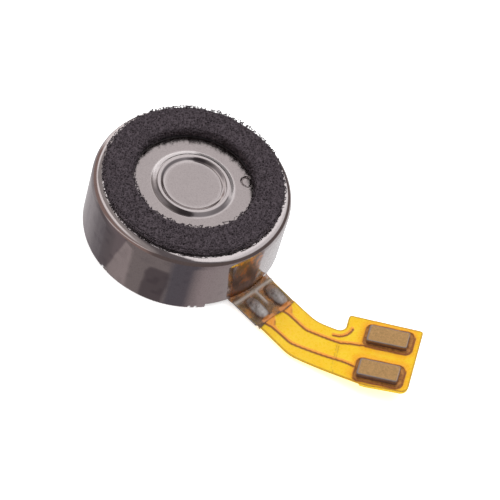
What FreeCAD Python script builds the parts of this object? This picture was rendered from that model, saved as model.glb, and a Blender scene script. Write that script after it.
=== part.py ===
"""Vibration coin motor, modelled as its separate pieces.

Row frame: origin at the centre of the base's underside, +Z up the can's axis, +X along
the contact tab at the end of the flexible tail. Millimetres.
"""
import FreeCAD, Part
import math
import os
import Sketcher

PARTS_FOLDER = "parts"
Y_AXIS = FreeCAD.Vector(0, 1, 0)
Z_AXIS = FreeCAD.Vector(0, 0, 1)

DIMENSIONS = [
    # cover can
    ("can_radius", 5.0, "outside radius of the can"),
    ("can_height", 3.4, "base to top plate"),
    ("can_wall", 0.15, "sheet thickness of the can"),
    ("can_edge_radius", 0.28, "rounded top edge"),
    ("bead_outer_radius", 2.04, "foot of the raised bead, outside"),
    ("bead_inner_radius", 1.56, "foot of the raised bead, inside"),
    ("bead_height", 0.16, "height of the bead over the top plate"),
    ("bead_slope", 0.12, "width of each sloping side of the bead"),
    ("dimple_radius", 0.3, "small press mark beside the bead"),
    ("dimple_depth", 0.05, "depth of the press mark"),
    ("dimple_x", 2.50, "place of the press mark"),
    ("dimple_y", 1.20, "place of the press mark"),
    ("window_half_angle", 30.0, "half of the opening for the tongue, degrees"),
    ("window_height", 0.30, "height of the opening for the tongue"),
    ("crimp_height", 0.12, "height of the crimp marks in the lower edge"),
    # base bracket and its tongue
    ("tail_angle", -33.0, "heading of the tongue from +X, degrees"),
    ("base_radius", 4.83, "base disc"),
    ("base_thickness", 0.15, "sheet thickness of the base"),
    ("boss_radius", 0.75, "shaft boss, outside"),
    ("boss_top", 0.50, "top of the shaft boss"),
    ("tongue_length", 6.90, "axis to the tongue's end"),
    ("tongue_half_width", 1.20, "half of the tongue's width"),
    ("lug_half_width", 0.18, "half of the width of a locating lug"),
    ("lug_slot_half_angle", 2.4, "half of the can's slot for a lug, degrees"),
    ("lug_radius", 4.98, "outer end of a locating lug"),
    ("lug_height", 0.13, "height of a locating lug"),
    ("lug_play", 0.02, "play of a lug in its slot"),
    # shaft, bearing and washers
    ("shaft_radius", 0.40, "fixed shaft"),
    ("shaft_bottom", 0.05, "lower end of the shaft, in its blind seat"),
    ("shaft_chamfer", 0.05, "bevel on both ends of the shaft"),
    ("running_clearance", 0.02, "radial play of the bearing on the shaft"),
    ("seat_clearance", 0.005, "radial play of seated pieces"),
    ("bearing_radius", 0.75, "outside of the bearing"),
    ("bearing_bottom", 0.62, "lower end of the bearing"),
    ("bearing_top", 3.05, "upper end of the bearing"),
    ("washer_radius", 0.72, "outside of both washers"),
    ("washer_thickness", 0.10, "both washers"),
    ("ceiling_gap", 0.01, "gap between the shaft and the can's top"),
    # magnet and brush circuit
    ("circuit_thickness", 0.07, "circuit on the base"),
    ("circuit_radius", 4.30, "circuit on the base"),
    ("circuit_hole_radius", 0.85, "hole in the circuit, round the boss"),
    ("circuit_strip_half_width", 1.10, "half of the strip on the tongue"),
    ("circuit_strip_length", 6.85, "axis to the end of the strip"),
    ("magnet_inner_radius", 2.00, "ring magnet bore"),
    ("magnet_outer_radius", 4.35, "ring magnet outside"),
    ("magnet_height", 0.85, "ring magnet height"),
    ("magnet_chamfer", 0.10, "bevel on the magnet's edges"),
    ("brush_offset", 1.10, "sideways place of each brush"),
    ("brush_width", 0.35, "width of the brush strip"),
    ("brush_thickness", 0.06, "thickness of the brush strip"),
    ("brush_foot_start", -1.40, "outer end of the soldered foot"),
    ("brush_foot_end", -0.70, "where the brush starts to rise"),
    ("brush_tip", 0.30, "place of the contact tip"),
    ("brush_tip_height", 1.29, "top of the contact tip"),
    # rotor
    ("board_bottom", 1.33, "underside of the rotor's board"),
    ("board_thickness", 0.10, "rotor's board"),
    ("rotor_radius", 4.40, "outside of the board and mould"),
    ("board_chord", -2.00, "straight edge of the board"),
    ("mould_chord", -1.30, "straight edge of the mould"),
    ("mould_top", 2.60, "top of the mould"),
    ("commutator_inner_radius", 0.95, "commutator ring, inside"),
    ("commutator_outer_radius", 1.75, "commutator ring, outside"),
    ("commutator_thickness", 0.02, "copper of the commutator"),
    ("commutator_gap", 0.12, "gap between two segments"),
    ("coil_outer_radius", 1.20, "flat coil, outside"),
    ("coil_inner_radius", 0.35, "flat coil, inside"),
    ("coil_height", 0.60, "flat coil, height"),
    ("coil_distance", 3.00, "shaft to the middle of a coil"),
    ("coil_angle", 62.0, "coil to the heavy side's middle, degrees"),
    ("weight_inner_radius", 2.25, "counterweight, inside"),
    ("weight_outer_radius", 4.50, "counterweight, outside"),
    ("weight_half_angle", 32.0, "half of the counterweight, degrees"),
    ("weight_top", 2.95, "top of the counterweight"),
    # foam ring
    ("foam_inner_radius", 3.00, "foam ring, inside"),
    ("foam_outer_radius", 4.50, "foam ring, outside"),
    ("foam_thickness", 0.52, "foam ring, height"),
    ("adhesive_thickness", 0.03, "adhesive under the foam"),
    # flexible tail, as layers counted up from the underside of its base film
    ("film_thickness", 0.05, "base film"),
    ("copper_thickness", 0.03, "copper tracks"),
    ("cover_thickness", 0.06, "cover film with its adhesive"),
    ("film_half_width", 1.25, "half of the tail's width"),
    ("film_start", 5.08, "axis to the tail's inner end"),
    ("cover_start", 6.85, "axis to the cover film's inner end"),
    ("bend_start", 6.50, "X where the tail starts to rise"),
    ("bend_end", 9.00, "X where the rise becomes straight"),
    ("rise_angle", 11.0, "rise of the contact tab, degrees"),
    ("second_angle", -12.6, "heading of the tail's second leg, degrees"),
    ("second_leg_x", 8.54, "a point on the second leg's outer edge"),
    ("second_leg_y", -6.33, "a point on the second leg's outer edge"),
    ("second_leg_width", 2.54, "width of the second leg"),
    ("elbow_radius", 2.0, "rounding of the tail's elbows"),
    ("tab_front", -6.82, "Y of the tab's outer long edge"),
    ("tab_back_left", -2.77, "Y of the tab's inner long edge, near end"),
    ("tab_back_right", -2.99, "Y of the tab's inner long edge, far end"),
    ("tab_end_front", 12.80, "X of the tab's end, outer corner"),
    ("tab_end_back", 12.94, "X of the tab's end, inner corner"),
    ("tab_ear", 9.26, "X of the tab's near end"),
    ("tab_large_radius", 0.35, "large corner radius of the tab"),
    ("tab_small_radius", 0.15, "small corner radius of the tab"),
    ("stiffener_start", 9.12, "X where the stiffener starts"),
    ("stiffener_thickness", 0.10, "stiffener under the tab"),
    ("track_width", 0.16, "width of a copper track"),
    ("pad_length", 2.00, "contact pad along the tab"),
    ("pad_width", 1.00, "contact pad across the tab"),
    ("pad_height", 0.26, "contact pad over its copper"),
    ("pad_corner_radius", 0.12, "corners of a contact pad"),
    ("pad_edge_radius", 0.05, "rounded top edge of a contact pad"),
    ("pad_turn", -2.4, "turn of the pads from +X, degrees"),
    ("pad_opening_margin", 0.16, "bare copper round a contact pad"),
    ("pad_land_margin", 0.24, "copper land round a contact pad"),
    ("pad_inner_x", 11.37, "middle of the inner contact pad"),
    ("pad_inner_y", -3.84, "middle of the inner contact pad"),
    ("pad_outer_x", 11.28, "middle of the outer contact pad"),
    ("pad_outer_y", -5.95, "middle of the outer contact pad"),
    ("tear_stop_x", 8.88, "middle of the tear stop's arc"),
    ("tear_stop_y", -3.49, "middle of the tear stop's arc"),
    ("tear_stop_radius", 0.66, "radius of the tear stop's arc"),
    # solder joints and tape over them
    ("solder_distance", 6.10, "axis to the middle of a solder joint"),
    ("solder_offset", 0.62, "solder joint from the tail's middle"),
    ("solder_half_length", 0.62, "solder joint along the tail"),
    ("solder_half_width", 0.31, "solder joint across the tail"),
    ("solder_height", 0.26, "solder joint over its copper"),
    ("tape_start", 5.03, "axis to the tape's inner end"),
    ("tape_end", 7.00, "axis to the tape's outer end"),
    ("tape_half_width", 1.45, "half of the tape's width"),
    ("tape_thickness", 0.05, "tape"),
    ("tape_lift", 0.01, "air under the tape"),
]

doc = FreeCAD.newDocument("coin_motor")
sheet = doc.addObject("Spreadsheet::Sheet", "dim")
for row, (alias, number, note) in enumerate(DIMENSIONS, 1):
    sheet.set(f"A{row}", note)
    sheet.set(f"B{row}", str(number))
    sheet.setAlias(f"B{row}", alias)
doc.recompute()


def value(expression):
    """The number that an expression in the sheet's names gives."""
    result = sheet.evalExpression(expression)
    return float(getattr(result, "Value", result))


# ---- sketches and features of a body -------------------------------------------------

def new_body(label, turned=False):
    """A body; a turned one has its own X along the tongue."""
    body = doc.addObject("PartDesign::Body", label)
    body.Label = label
    if turned:
        body.Placement = FreeCAD.Placement(FreeCAD.Vector(), FreeCAD.Rotation(Z_AXIS, 0))
        body.setExpression("Placement.Rotation.Angle", "dim.tail_angle")
    return body


def new_sketch(body, role="XY_Plane", level="0"):
    """A sketch on one of the body's own planes, moved out along its normal to level."""
    plane = next(p for p in body.Origin.OriginFeatures if p.Role == role)
    sketch = body.newObject("Sketcher::SketchObject", body.Name + "_sketch")
    sketch.AttachmentSupport = (plane, [""])
    sketch.MapMode = "FlatFace"
    sketch.setExpression("AttachmentOffset.Base.z", level)
    return sketch


def bind(sketch, kind, target, expression):
    """Add one dimension to the sketch and bind it to an expression."""
    index = sketch.addConstraint(Sketcher.Constraint(kind, *target, value(expression)))
    sketch.setExpression(f"Constraints[{index}]", expression)


def add_circle(sketch, radius, x="0", y="0"):
    centre = FreeCAD.Vector(value(x), value(y), 0)
    edge = sketch.addGeometry(Part.Circle(centre, Z_AXIS, value(radius)), False)
    bind(sketch, "DistanceX", (-1, 1, edge, 3), x)
    bind(sketch, "DistanceY", (-1, 1, edge, 3), y)
    bind(sketch, "Radius", (edge,), radius)


def add_polygon(sketch, corners):
    """A closed outline; each corner is a pair of expressions."""
    points = [FreeCAD.Vector(value(x), value(y), 0) for x, y in corners]
    count = len(points)
    first = sketch.GeometryCount
    for i in range(count):
        sketch.addGeometry(Part.LineSegment(points[i], points[(i + 1) % count]), False)
    for i, (x, y) in enumerate(corners):
        after = first + (i + 1) % count
        sketch.addConstraint(Sketcher.Constraint("Coincident", first + i, 2, after, 1))
        bind(sketch, "DistanceX", (-1, 1, first + i, 1), x)
        bind(sketch, "DistanceY", (-1, 1, first + i, 1), y)


def add_chorded_circle(sketch, radius, chord):
    """A circle about the origin with the part below a level chord taken off."""
    start = math.asin(value(chord) / value(radius))
    circle = Part.Circle(FreeCAD.Vector(), Z_AXIS, value(radius))
    arc = sketch.addGeometry(Part.ArcOfCircle(circle, start, math.pi - start), False)
    ends = [circle.value(math.pi - start), circle.value(start)]
    line = sketch.addGeometry(Part.LineSegment(*ends), False)
    sketch.addConstraint(Sketcher.Constraint("Coincident", arc, 3, -1, 1))
    sketch.addConstraint(Sketcher.Constraint("Coincident", arc, 2, line, 1))
    sketch.addConstraint(Sketcher.Constraint("Coincident", line, 2, arc, 1))
    sketch.addConstraint(Sketcher.Constraint("Horizontal", line))
    bind(sketch, "Radius", (arc,), radius)
    bind(sketch, "DistanceY", (-1, 1, line, 1), chord)


def add_ring_sector(sketch, inner, outer, half_angle):
    """The part of a ring within half_angle of the sketch's Y axis."""
    arcs = []
    for radius in (inner, outer):
        half = math.radians(value(half_angle))
        circle = Part.Circle(FreeCAD.Vector(), Z_AXIS, value(radius))
        arc = Part.ArcOfCircle(circle, math.pi / 2 - half, math.pi / 2 + half)
        index = sketch.addGeometry(arc, False)
        sketch.addConstraint(Sketcher.Constraint("Coincident", index, 3, -1, 1))
        bind(sketch, "Radius", (index,), radius)
        arcs.append((index, arc))
    (low, low_arc), (high, high_arc) = arcs
    for end, side, point in ((1, "", "StartPoint"), (2, "-", "EndPoint")):
        ends = [getattr(low_arc, point), getattr(high_arc, point)]
        line = sketch.addGeometry(Part.LineSegment(*ends), False)
        sketch.addConstraint(Sketcher.Constraint("Coincident", low, end, line, 1))
        sketch.addConstraint(Sketcher.Constraint("Coincident", high, end, line, 2))
        bind(sketch, "DistanceX", (-1, 1, line, 1), f"{side}({inner}) * sin({half_angle})")
        bind(sketch, "DistanceX", (-1, 1, line, 2), f"{side}({outer}) * sin({half_angle})")


def pad(body, sketch, length, midplane=False):
    feature = body.newObject("PartDesign::Pad", body.Name + "_pad")
    feature.Profile = sketch
    feature.setExpression("Length", length)
    feature.Midplane = midplane
    doc.recompute()
    return feature


def pocket(body, sketch, depth):
    """Cut upward from the sketch, and make sure that the cut removes something."""
    before = body.Shape.Volume
    feature = body.newObject("PartDesign::Pocket", body.Name + "_pocket")
    feature.Profile = sketch
    feature.Reversed = True
    feature.setExpression("Length", depth)
    doc.recompute()
    assert body.Shape.Volume < before, feature.Name + " cuts nothing"
    return feature


def round_edges(body, kind, size, wanted):
    """Fillet or chamfer those edges of the body's last feature for which wanted is true."""
    tip = body.Tip
    names = [f"Edge{i}" for i, edge in enumerate(tip.Shape.Edges, 1) if wanted(edge)]
    feature = body.newObject("PartDesign::" + kind, f"{body.Name}_{kind.lower()}")
    feature.Base = (tip, names)
    feature.setExpression("Radius" if kind == "Fillet" else "Size", size)
    doc.recompute()
    return feature


def ring(label, inner, outer, bottom, height, x="0", y="0"):
    """A flat ring, or a disc when inner is None."""
    body = new_body(label)
    sketch = new_sketch(body, level=bottom)
    add_circle(sketch, outer, x, y)
    if inner:
        add_circle(sketch, inner, x, y)
    pad(body, sketch, height)
    return body


def is_circle_of(radius):
    """A test for full circular edges of one radius."""
    return lambda edge: (edge.Curve.TypeId == "Part::GeomCircle"
                         and abs(edge.Curve.Radius - value(radius)) < 1e-6)


# ---- cover can -----------------------------------------------------------------------

def can():
    """Drawn cup with a raised bead; its lower edge is open where the tongue leaves."""
    body = new_body("can", turned=True)
    sketch = new_sketch(body, "XZ_Plane")
    top = "dim.can_height"
    crest = f"{top} + dim.bead_height"
    bead = [("dim.bead_outer_radius", "0"), ("dim.bead_outer_radius - dim.bead_slope", "1"),
            ("dim.bead_inner_radius + dim.bead_slope", "1"), ("dim.bead_inner_radius", "0")]
    outside = [(r, f"{top} + dim.bead_height * {rise}") for r, rise in bead]
    inside = [(r, f"{z} - dim.can_wall") for r, z in reversed(outside)]
    add_polygon(sketch, [
        ("dim.can_radius - dim.can_wall", "0"),
        ("dim.can_radius", "0"),
        ("dim.can_radius", top),
        *outside,
        ("0", top),
        ("0", f"{top} - dim.can_wall"),
        *inside,
        ("dim.can_radius - dim.can_wall", f"{top} - dim.can_wall"),
    ])
    turn = body.newObject("PartDesign::Revolution", "can_revolution")
    turn.Profile = sketch
    turn.ReferenceAxis = (sketch, ["V_Axis"])
    turn.Angle = 360
    doc.recompute()
    highest = value(crest)
    round_edges(body, "Fillet", "dim.can_edge_radius", lambda edge: (
        is_circle_of("dim.can_radius")(edge) and edge.Curve.Center.z > 1))
    round_edges(body, "Fillet", "dim.bead_slope / 2", lambda edge: (
        edge.Curve.TypeId == "Part::GeomCircle" and abs(edge.Curve.Center.z - highest) < 1e-6))
    edge_notch(body, "0", "dim.window_half_angle", "dim.window_height")
    for middle in LUG_ANGLES:
        edge_notch(body, middle, "dim.lug_slot_half_angle", "dim.lug_height + dim.lug_play")
    for middle in CRIMP_ANGLES:
        edge_notch(body, middle, "0.8", "dim.crimp_height")
    mark = new_sketch(body, level="dim.can_height - dim.dimple_depth")
    # the mark's place is given in the row frame, so it is turned back into the body's
    along = "dim.dimple_x * cos(dim.tail_angle) + dim.dimple_y * sin(dim.tail_angle)"
    across = "dim.dimple_y * cos(dim.tail_angle) - dim.dimple_x * sin(dim.tail_angle)"
    add_circle(mark, "dim.dimple_radius", along, across)
    pocket(body, mark, "dim.dimple_depth")


LUG_ANGLES = ("-94", "94", "180")
CRIMP_ANGLES = ("-35.5", "-39", "35.5", "39")


def edge_notch(body, middle, half_angle, height):
    """Open the can's lower edge over an angle, from the base up to height."""
    sketch = new_sketch(body)
    reach = "dim.can_radius * 1.3"
    corners = [("0", "0")]
    for side in ("-", "+"):
        angle = f"{middle} {side} ({half_angle})"
        corners.append((f"{reach} * cos({angle})", f"{reach} * sin({angle})"))
    add_polygon(sketch, corners)
    pocket(body, sketch, height)


# ---- base ----------------------------------------------------------------------------

def bracket():
    """Base disc with the shaft's boss, three locating lugs and the tongue."""
    body = new_body("bracket", turned=True)
    plate = new_sketch(body)
    add_circle(plate, "dim.base_radius")
    pad(body, plate, "dim.base_thickness")
    tongue = new_sketch(body)
    add_rectangle(tongue, "0", "dim.tongue_length", "dim.tongue_half_width")
    pad(body, tongue, "dim.base_thickness")
    for angle in LUG_ANGLES:
        lug = new_sketch(body)
        along, across = f"cos({angle})", f"sin({angle})"
        half = "dim.lug_half_width"
        start = "dim.base_radius - 0.3"
        corners = [(start, "-"), ("dim.lug_radius", "-"), ("dim.lug_radius", "+"), (start, "+")]
        add_polygon(lug, [
            (f"({r}) * {along} - ({side}{half}) * {across}",
             f"({r}) * {across} + ({side}{half}) * {along}") for r, side in corners])
        pad(body, lug, "dim.lug_height")
    boss = new_sketch(body)
    add_circle(boss, "dim.boss_radius")
    pad(body, boss, "dim.boss_top")
    seat = new_sketch(body, level="dim.shaft_bottom")
    add_circle(seat, "dim.shaft_radius + dim.seat_clearance")
    pocket(body, seat, "dim.boss_top")


def add_rectangle(sketch, start, end, half_width):
    """A rectangle from start to end along X, centred on the X axis."""
    add_polygon(sketch, [(start, f"-({half_width})"), (end, f"-({half_width})"),
                         (end, half_width), (start, half_width)])


def motor_flex():
    """Circuit on the base that feeds the brushes and runs out along the tongue."""
    body = new_body("motor_flex", turned=True)
    disc = new_sketch(body, level="dim.base_thickness")
    add_circle(disc, "dim.circuit_radius")
    pad(body, disc, "dim.circuit_thickness")
    strip = new_sketch(body, level="dim.base_thickness")
    add_rectangle(strip, "0", "dim.circuit_strip_length", "dim.circuit_strip_half_width")
    pad(body, strip, "dim.circuit_thickness")
    hole = new_sketch(body)
    add_circle(hole, "dim.circuit_hole_radius")
    pocket(body, hole, "1")


CEILING = "dim.can_height - dim.can_wall - dim.ceiling_gap"


def shaft():
    body = ring("shaft", None, "dim.shaft_radius", "dim.shaft_bottom",
                f"{CEILING} - dim.shaft_bottom")
    round_edges(body, "Chamfer", "dim.shaft_chamfer", is_circle_of("dim.shaft_radius"))


def ring_magnet():
    bottom = "dim.base_thickness + dim.circuit_thickness"
    body = ring("ring_magnet", "dim.magnet_inner_radius", "dim.magnet_outer_radius",
                bottom, "dim.magnet_height")
    round_edges(body, "Chamfer", "dim.magnet_chamfer", is_circle_of("dim.magnet_outer_radius"))


def brush(label, turn):
    """Leaf spring: a soldered foot, a rising arm and a curled contact tip."""
    body = new_body(label)
    body.Placement = FreeCAD.Placement(FreeCAD.Vector(), FreeCAD.Rotation(Z_AXIS, turn))
    sketch = new_sketch(body, "XZ_Plane", "dim.brush_offset")
    foot = "dim.base_thickness + dim.circuit_thickness"
    skin = "dim.brush_thickness"
    tip = "dim.brush_tip_height"
    add_polygon(sketch, [
        ("dim.brush_foot_start", foot),
        ("dim.brush_foot_end + 0.02", foot),
        ("dim.brush_tip - 0.12", f"{tip} - 0.12"),
        ("dim.brush_tip", f"{tip} - {skin}"),
        ("dim.brush_tip + 0.12", f"{tip} - 0.15"),
        ("dim.brush_tip + 0.17", f"{tip} - 0.11"),
        ("dim.brush_tip + 0.02", tip),
        ("dim.brush_tip - 0.02", tip),
        ("dim.brush_tip - 0.16", f"{tip} - 0.07"),
        ("dim.brush_foot_end - 0.01", f"{foot} + {skin}"),
        ("dim.brush_foot_start", f"{foot} + {skin}"),
    ])
    pad(body, sketch, "dim.brush_width", midplane=True)


# ---- rotor ---------------------------------------------------------------------------

def rotor_board():
    body = new_body("rotor_board")
    sketch = new_sketch(body, level="dim.board_bottom")
    add_chorded_circle(sketch, "dim.rotor_radius", "dim.board_chord")
    add_circle(sketch, "dim.bearing_radius + dim.seat_clearance")
    pad(body, sketch, "dim.board_thickness")


def commutator():
    """Six copper segments under the rotor's board: a ring cut by three crossing slots."""
    bottom = "dim.board_bottom - dim.commutator_thickness"
    cylinders = []
    for name, radius in (("outer", "dim.commutator_outer_radius"),
                         ("inner", "dim.commutator_inner_radius")):
        cylinder = doc.addObject("Part::Cylinder", "commutator_" + name)
        cylinder.setExpression("Radius", radius)
        cylinder.setExpression("Height", "dim.commutator_thickness")
        cylinder.setExpression("Placement.Base.z", bottom)
        cylinders.append(cylinder)
    slots = []
    for turn in (0, 60, 120):
        slot = doc.addObject("Part::Box", "commutator_slot")
        slot.setExpression("Length", "dim.commutator_outer_radius * 3")
        slot.setExpression("Width", "dim.commutator_gap")
        slot.setExpression("Height", "dim.commutator_thickness")
        half = FreeCAD.Vector(-value("dim.commutator_outer_radius") * 1.5,
                              -value("dim.commutator_gap") / 2, value(bottom))
        rotation = FreeCAD.Rotation(Z_AXIS, turn)
        slot.Placement = FreeCAD.Placement(rotation.multVec(half), rotation)
        slots.append(slot)
    cutters = doc.addObject("Part::MultiFuse", "commutator_cutters")
    cutters.Shapes = [cylinders[1], *slots]
    segments = doc.addObject("Part::Cut", "commutator_segments")
    segments.Base = cylinders[0]
    segments.Tool = cutters
    segments.Label = "commutator_segments"


def coil_centre(side):
    """Place of a coil; the heavy side of the rotor looks along +Y."""
    return (f"{side} dim.coil_distance * sin(dim.coil_angle)",
            "dim.coil_distance * cos(dim.coil_angle)")


def coil(label, side):
    bottom = "dim.board_bottom + dim.board_thickness"
    body = ring(label, "dim.coil_inner_radius", "dim.coil_outer_radius", bottom,
                "dim.coil_height", *coil_centre(side))
    round_edges(body, "Fillet", "0.06", is_circle_of("dim.coil_outer_radius"))


def counterweight():
    body = new_body("counterweight")
    bottom = "dim.board_bottom + dim.board_thickness"
    sketch = new_sketch(body, level=bottom)
    add_ring_sector(sketch, "dim.weight_inner_radius", "dim.weight_outer_radius",
                    "dim.weight_half_angle")
    pad(body, sketch, f"dim.weight_top - ({bottom})")


def rotor_mould():
    """Resin that holds the coils, the counterweight and the bearing on the board."""
    body = new_body("rotor_mould")
    bottom = "dim.board_bottom + dim.board_thickness"
    outline = new_sketch(body, level=bottom)
    add_chorded_circle(outline, "dim.rotor_radius", "dim.mould_chord")
    add_circle(outline, "dim.bearing_radius + dim.seat_clearance")
    pad(body, outline, f"dim.mould_top - ({bottom})")
    for side in ("", "-"):
        seat = new_sketch(body, level=bottom)
        add_circle(seat, "dim.coil_outer_radius + 0.01", *coil_centre(side))
        pocket(body, seat, "dim.coil_height + 0.01")
    slot = new_sketch(body, level=bottom)
    add_ring_sector(slot, "dim.weight_inner_radius - 0.01", "dim.rotor_radius + 0.5",
                    "dim.weight_half_angle + 0.3")
    pocket(body, slot, "2")


# ---- flexible tail -------------------------------------------------------------------

def rounded_outline(corners):
    """Closed wire through corners (x, y, radius), each rounded to its own radius."""
    count = len(corners)
    ends = []
    edges = []
    for i, (x, y, radius) in enumerate(corners):
        here = FreeCAD.Vector(x, y, 0)
        before = FreeCAD.Vector(*corners[i - 1][:2], 0)
        after = FreeCAD.Vector(*corners[(i + 1) % count][:2], 0)
        back = (before - here).normalize()
        on = (after - here).normalize()
        if not radius:
            ends.append((here, here))
            continue
        half = back.getAngle(on) / 2
        reach = radius / math.tan(half)
        middle = here + (back + on).normalize() * (radius / math.sin(half))
        top = middle + (here - middle).normalize() * radius
        ends.append((here + back * reach, here + on * reach))
        edges.append(Part.Arc(ends[-1][0], top, ends[-1][1]).toShape())
    for i in range(count):
        edges.append(Part.LineSegment(ends[i][1], ends[(i + 1) % count][0]).toShape())
    return Part.Wire(Part.__sortEdges__(edges))


def turned_point(along, across, angle, start=(0, 0)):
    """A point given along and across a line that leaves start at an angle in degrees."""
    c = math.cos(math.radians(angle))
    s = math.sin(math.radians(angle))
    return (start[0] + along * c - across * s, start[1] + along * s + across * c)


def crossing(point_a, angle_a, point_b, angle_b):
    """Where two lines in the plane meet, each given by a point and a heading."""
    ax, ay = turned_point(1, 0, angle_a)
    bx, by = turned_point(1, 0, angle_b)
    gap_x, gap_y = point_b[0] - point_a[0], point_b[1] - point_a[1]
    reach = (gap_x * by - gap_y * bx) / (ax * by - ay * bx)
    return (point_a[0] + reach * ax, point_a[1] + reach * ay)


def tail_outline(start):
    """Plan outline of the tail from a distance along the tongue to the tab's end."""
    first = value("dim.tail_angle")
    second = value("dim.second_angle")
    half = value("dim.film_half_width")
    outer_start = turned_point(start, -half, first)
    inner_start = turned_point(start, half, first)
    outer_leg = (value("dim.second_leg_x"), value("dim.second_leg_y"))
    inner_leg = turned_point(0, value("dim.second_leg_width"), second, outer_leg)
    outer_elbow = crossing(outer_start, first, outer_leg, second)
    inner_elbow = crossing(inner_start, first, inner_leg, second)
    tab_start = crossing(outer_leg, second, (0, value("dim.tab_front")), 0)
    armpit = crossing(inner_leg, second, (value("dim.tab_ear"), 0), 90)
    elbow = value("dim.elbow_radius")
    large = value("dim.tab_large_radius")
    small = value("dim.tab_small_radius")
    return rounded_outline([
        (*outer_start, 0),
        (*outer_elbow, elbow),
        (*tab_start, elbow),
        (value("dim.tab_end_front"), value("dim.tab_front"), large),
        (value("dim.tab_end_back"), value("dim.tab_back_right"), small),
        (value("dim.tab_ear"), value("dim.tab_back_left"), small),
        (*armpit, large),
        (*inner_elbow, elbow),
        (*inner_start, 0),
    ])


def bent_layer(low, high):
    """Everything between two heights over the tail's underside, flat and then rising."""
    floor = value("dim.base_thickness + dim.circuit_thickness")
    begin = value("dim.bend_start")
    rise = math.radians(value("dim.rise_angle"))
    radius = (value("dim.bend_end") - begin) / math.sin(rise)
    centre = FreeCAD.Vector(begin, 0, floor + radius)
    run = FreeCAD.Vector(math.cos(rise), 0, math.sin(rise)) * 6

    def on_arc(height, share):
        angle = rise * share
        reach = radius - height
        return centre + FreeCAD.Vector(math.sin(angle), 0, -math.cos(angle)) * reach

    edges = []
    for height in (low, high):
        flat_start = FreeCAD.Vector(0, 0, floor + height)
        arc = [on_arc(height, share) for share in (0, 0.5, 1)]
        edges.append(Part.LineSegment(flat_start, arc[0]).toShape())
        edges.append(Part.Arc(*arc).toShape())
        edges.append(Part.LineSegment(arc[2], arc[2] + run).toShape())
    for end in (0, -1):
        lower = (edges[0], edges[2])[end].Vertexes[end].Point
        upper = (edges[3], edges[5])[end].Vertexes[end].Point
        edges.append(Part.LineSegment(lower, upper).toShape())
    face = Part.Face(Part.Wire(Part.__sortEdges__(edges)))
    face.translate(FreeCAD.Vector(0, -10, 0))
    return face.extrude(Y_AXIS * 12)


def plan_prism(faces):
    """Upright prism over one or more plan faces."""
    prisms = [face.extrude(Z_AXIS * 4) for face in faces]
    return prisms[0].multiFuse(prisms[1:]).removeSplitter() if prisms[1:] else prisms[0]


def keep(label, shape):
    """Put a finished shape in the document as a sub-part."""
    feature = doc.addObject("Part::Feature", label)
    feature.Label = label
    feature.Shape = shape.Solids[0] if len(shape.Solids) == 1 else shape
    feature.Placement = FreeCAD.Placement()


def pad_outline(which, margin):
    """Plan outline round a contact pad at a margin outside it."""
    centre = (value(f"dim.pad_{which}_x"), value(f"dim.pad_{which}_y"))
    half_length = value("dim.pad_length") / 2 + margin
    half_width = value("dim.pad_width") / 2 + margin
    radius = value("dim.pad_corner_radius") + margin
    signs = ((-1, -1), (1, -1), (1, 1), (-1, 1))
    return rounded_outline([
        (*turned_point(a * half_length, b * half_width, value("dim.pad_turn"), centre), radius)
        for a, b in signs])


def track_band(points):
    """Plan face of a track that follows points, with round ends."""
    route = Part.makePolygon([FreeCAD.Vector(x, y, 0) for x, y in points])
    return Part.Face(route.makeOffset2D(value("dim.track_width") / 2, 0, False, False))


# each land under a solder joint, along and across the tongue, ends in a taper
INNER_TAPER = [(5.35, 0.31), (6.95, 0.31), (7.30, 0.40), (7.60, 0.41), (7.60, 0.57),
               (7.35, 0.62), (7.15, 0.82), (7.00, 0.93), (5.35, 0.93)]
OUTER_TAPER = [(5.35, -0.95), (6.95, -0.95), (7.30, -0.82), (7.60, -0.80), (7.60, -0.64),
               (7.35, -0.58), (7.15, -0.36), (7.00, -0.25), (5.35, -0.25)]
# each track runs from its taper to its contact pad's land
INNER_ROUTE = [(6.34, -3.53), (7.30, -4.15), (7.46, -4.21), (8.95, -4.50), (9.15, -4.53),
               (9.60, -4.47), (9.85, -4.47), (10.80, -4.36)]
OUTER_ROUTE = [(5.98, -4.73), (6.72, -5.17), (6.92, -5.24), (9.50, -5.62), (9.75, -5.68),
               (10.40, -5.90)]


def track(label, taper, route, which):
    """Solder land, taper, track and contact land as one piece of copper."""
    angle = value("dim.tail_angle")
    corners = [FreeCAD.Vector(*turned_point(a, b, angle), 0) for a, b in taper]
    faces = [
        Part.Face(Part.makePolygon(corners + corners[:1])),
        track_band(route),
        Part.Face(pad_outline(which, value("dim.pad_land_margin"))),
    ]
    bottom = value("dim.film_thickness")
    layer = bent_layer(bottom, bottom + value("dim.copper_thickness"))
    shape = layer.common(plan_prism(faces))
    keep(label, shape)
    return shape


def tear_stop():
    """Copper arc round the inner corner, which keeps the film from tearing."""
    centre = FreeCAD.Vector(value("dim.tear_stop_x"), value("dim.tear_stop_y"), 0)
    radius = value("dim.tear_stop_radius")
    circle = Part.Circle(centre, Z_AXIS, radius)
    first, last = math.radians(-103), math.radians(-7)
    path = Part.Wire([Part.ArcOfCircle(circle, first, last).toShape()])
    face = Part.Face(path.makeOffset2D(value("dim.track_width") / 2, 0, False, False))
    bottom = value("dim.film_thickness")
    shape = bent_layer(bottom, bottom + value("dim.copper_thickness")).common(plan_prism([face]))
    keep("tear_stop", shape)
    return shape


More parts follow.
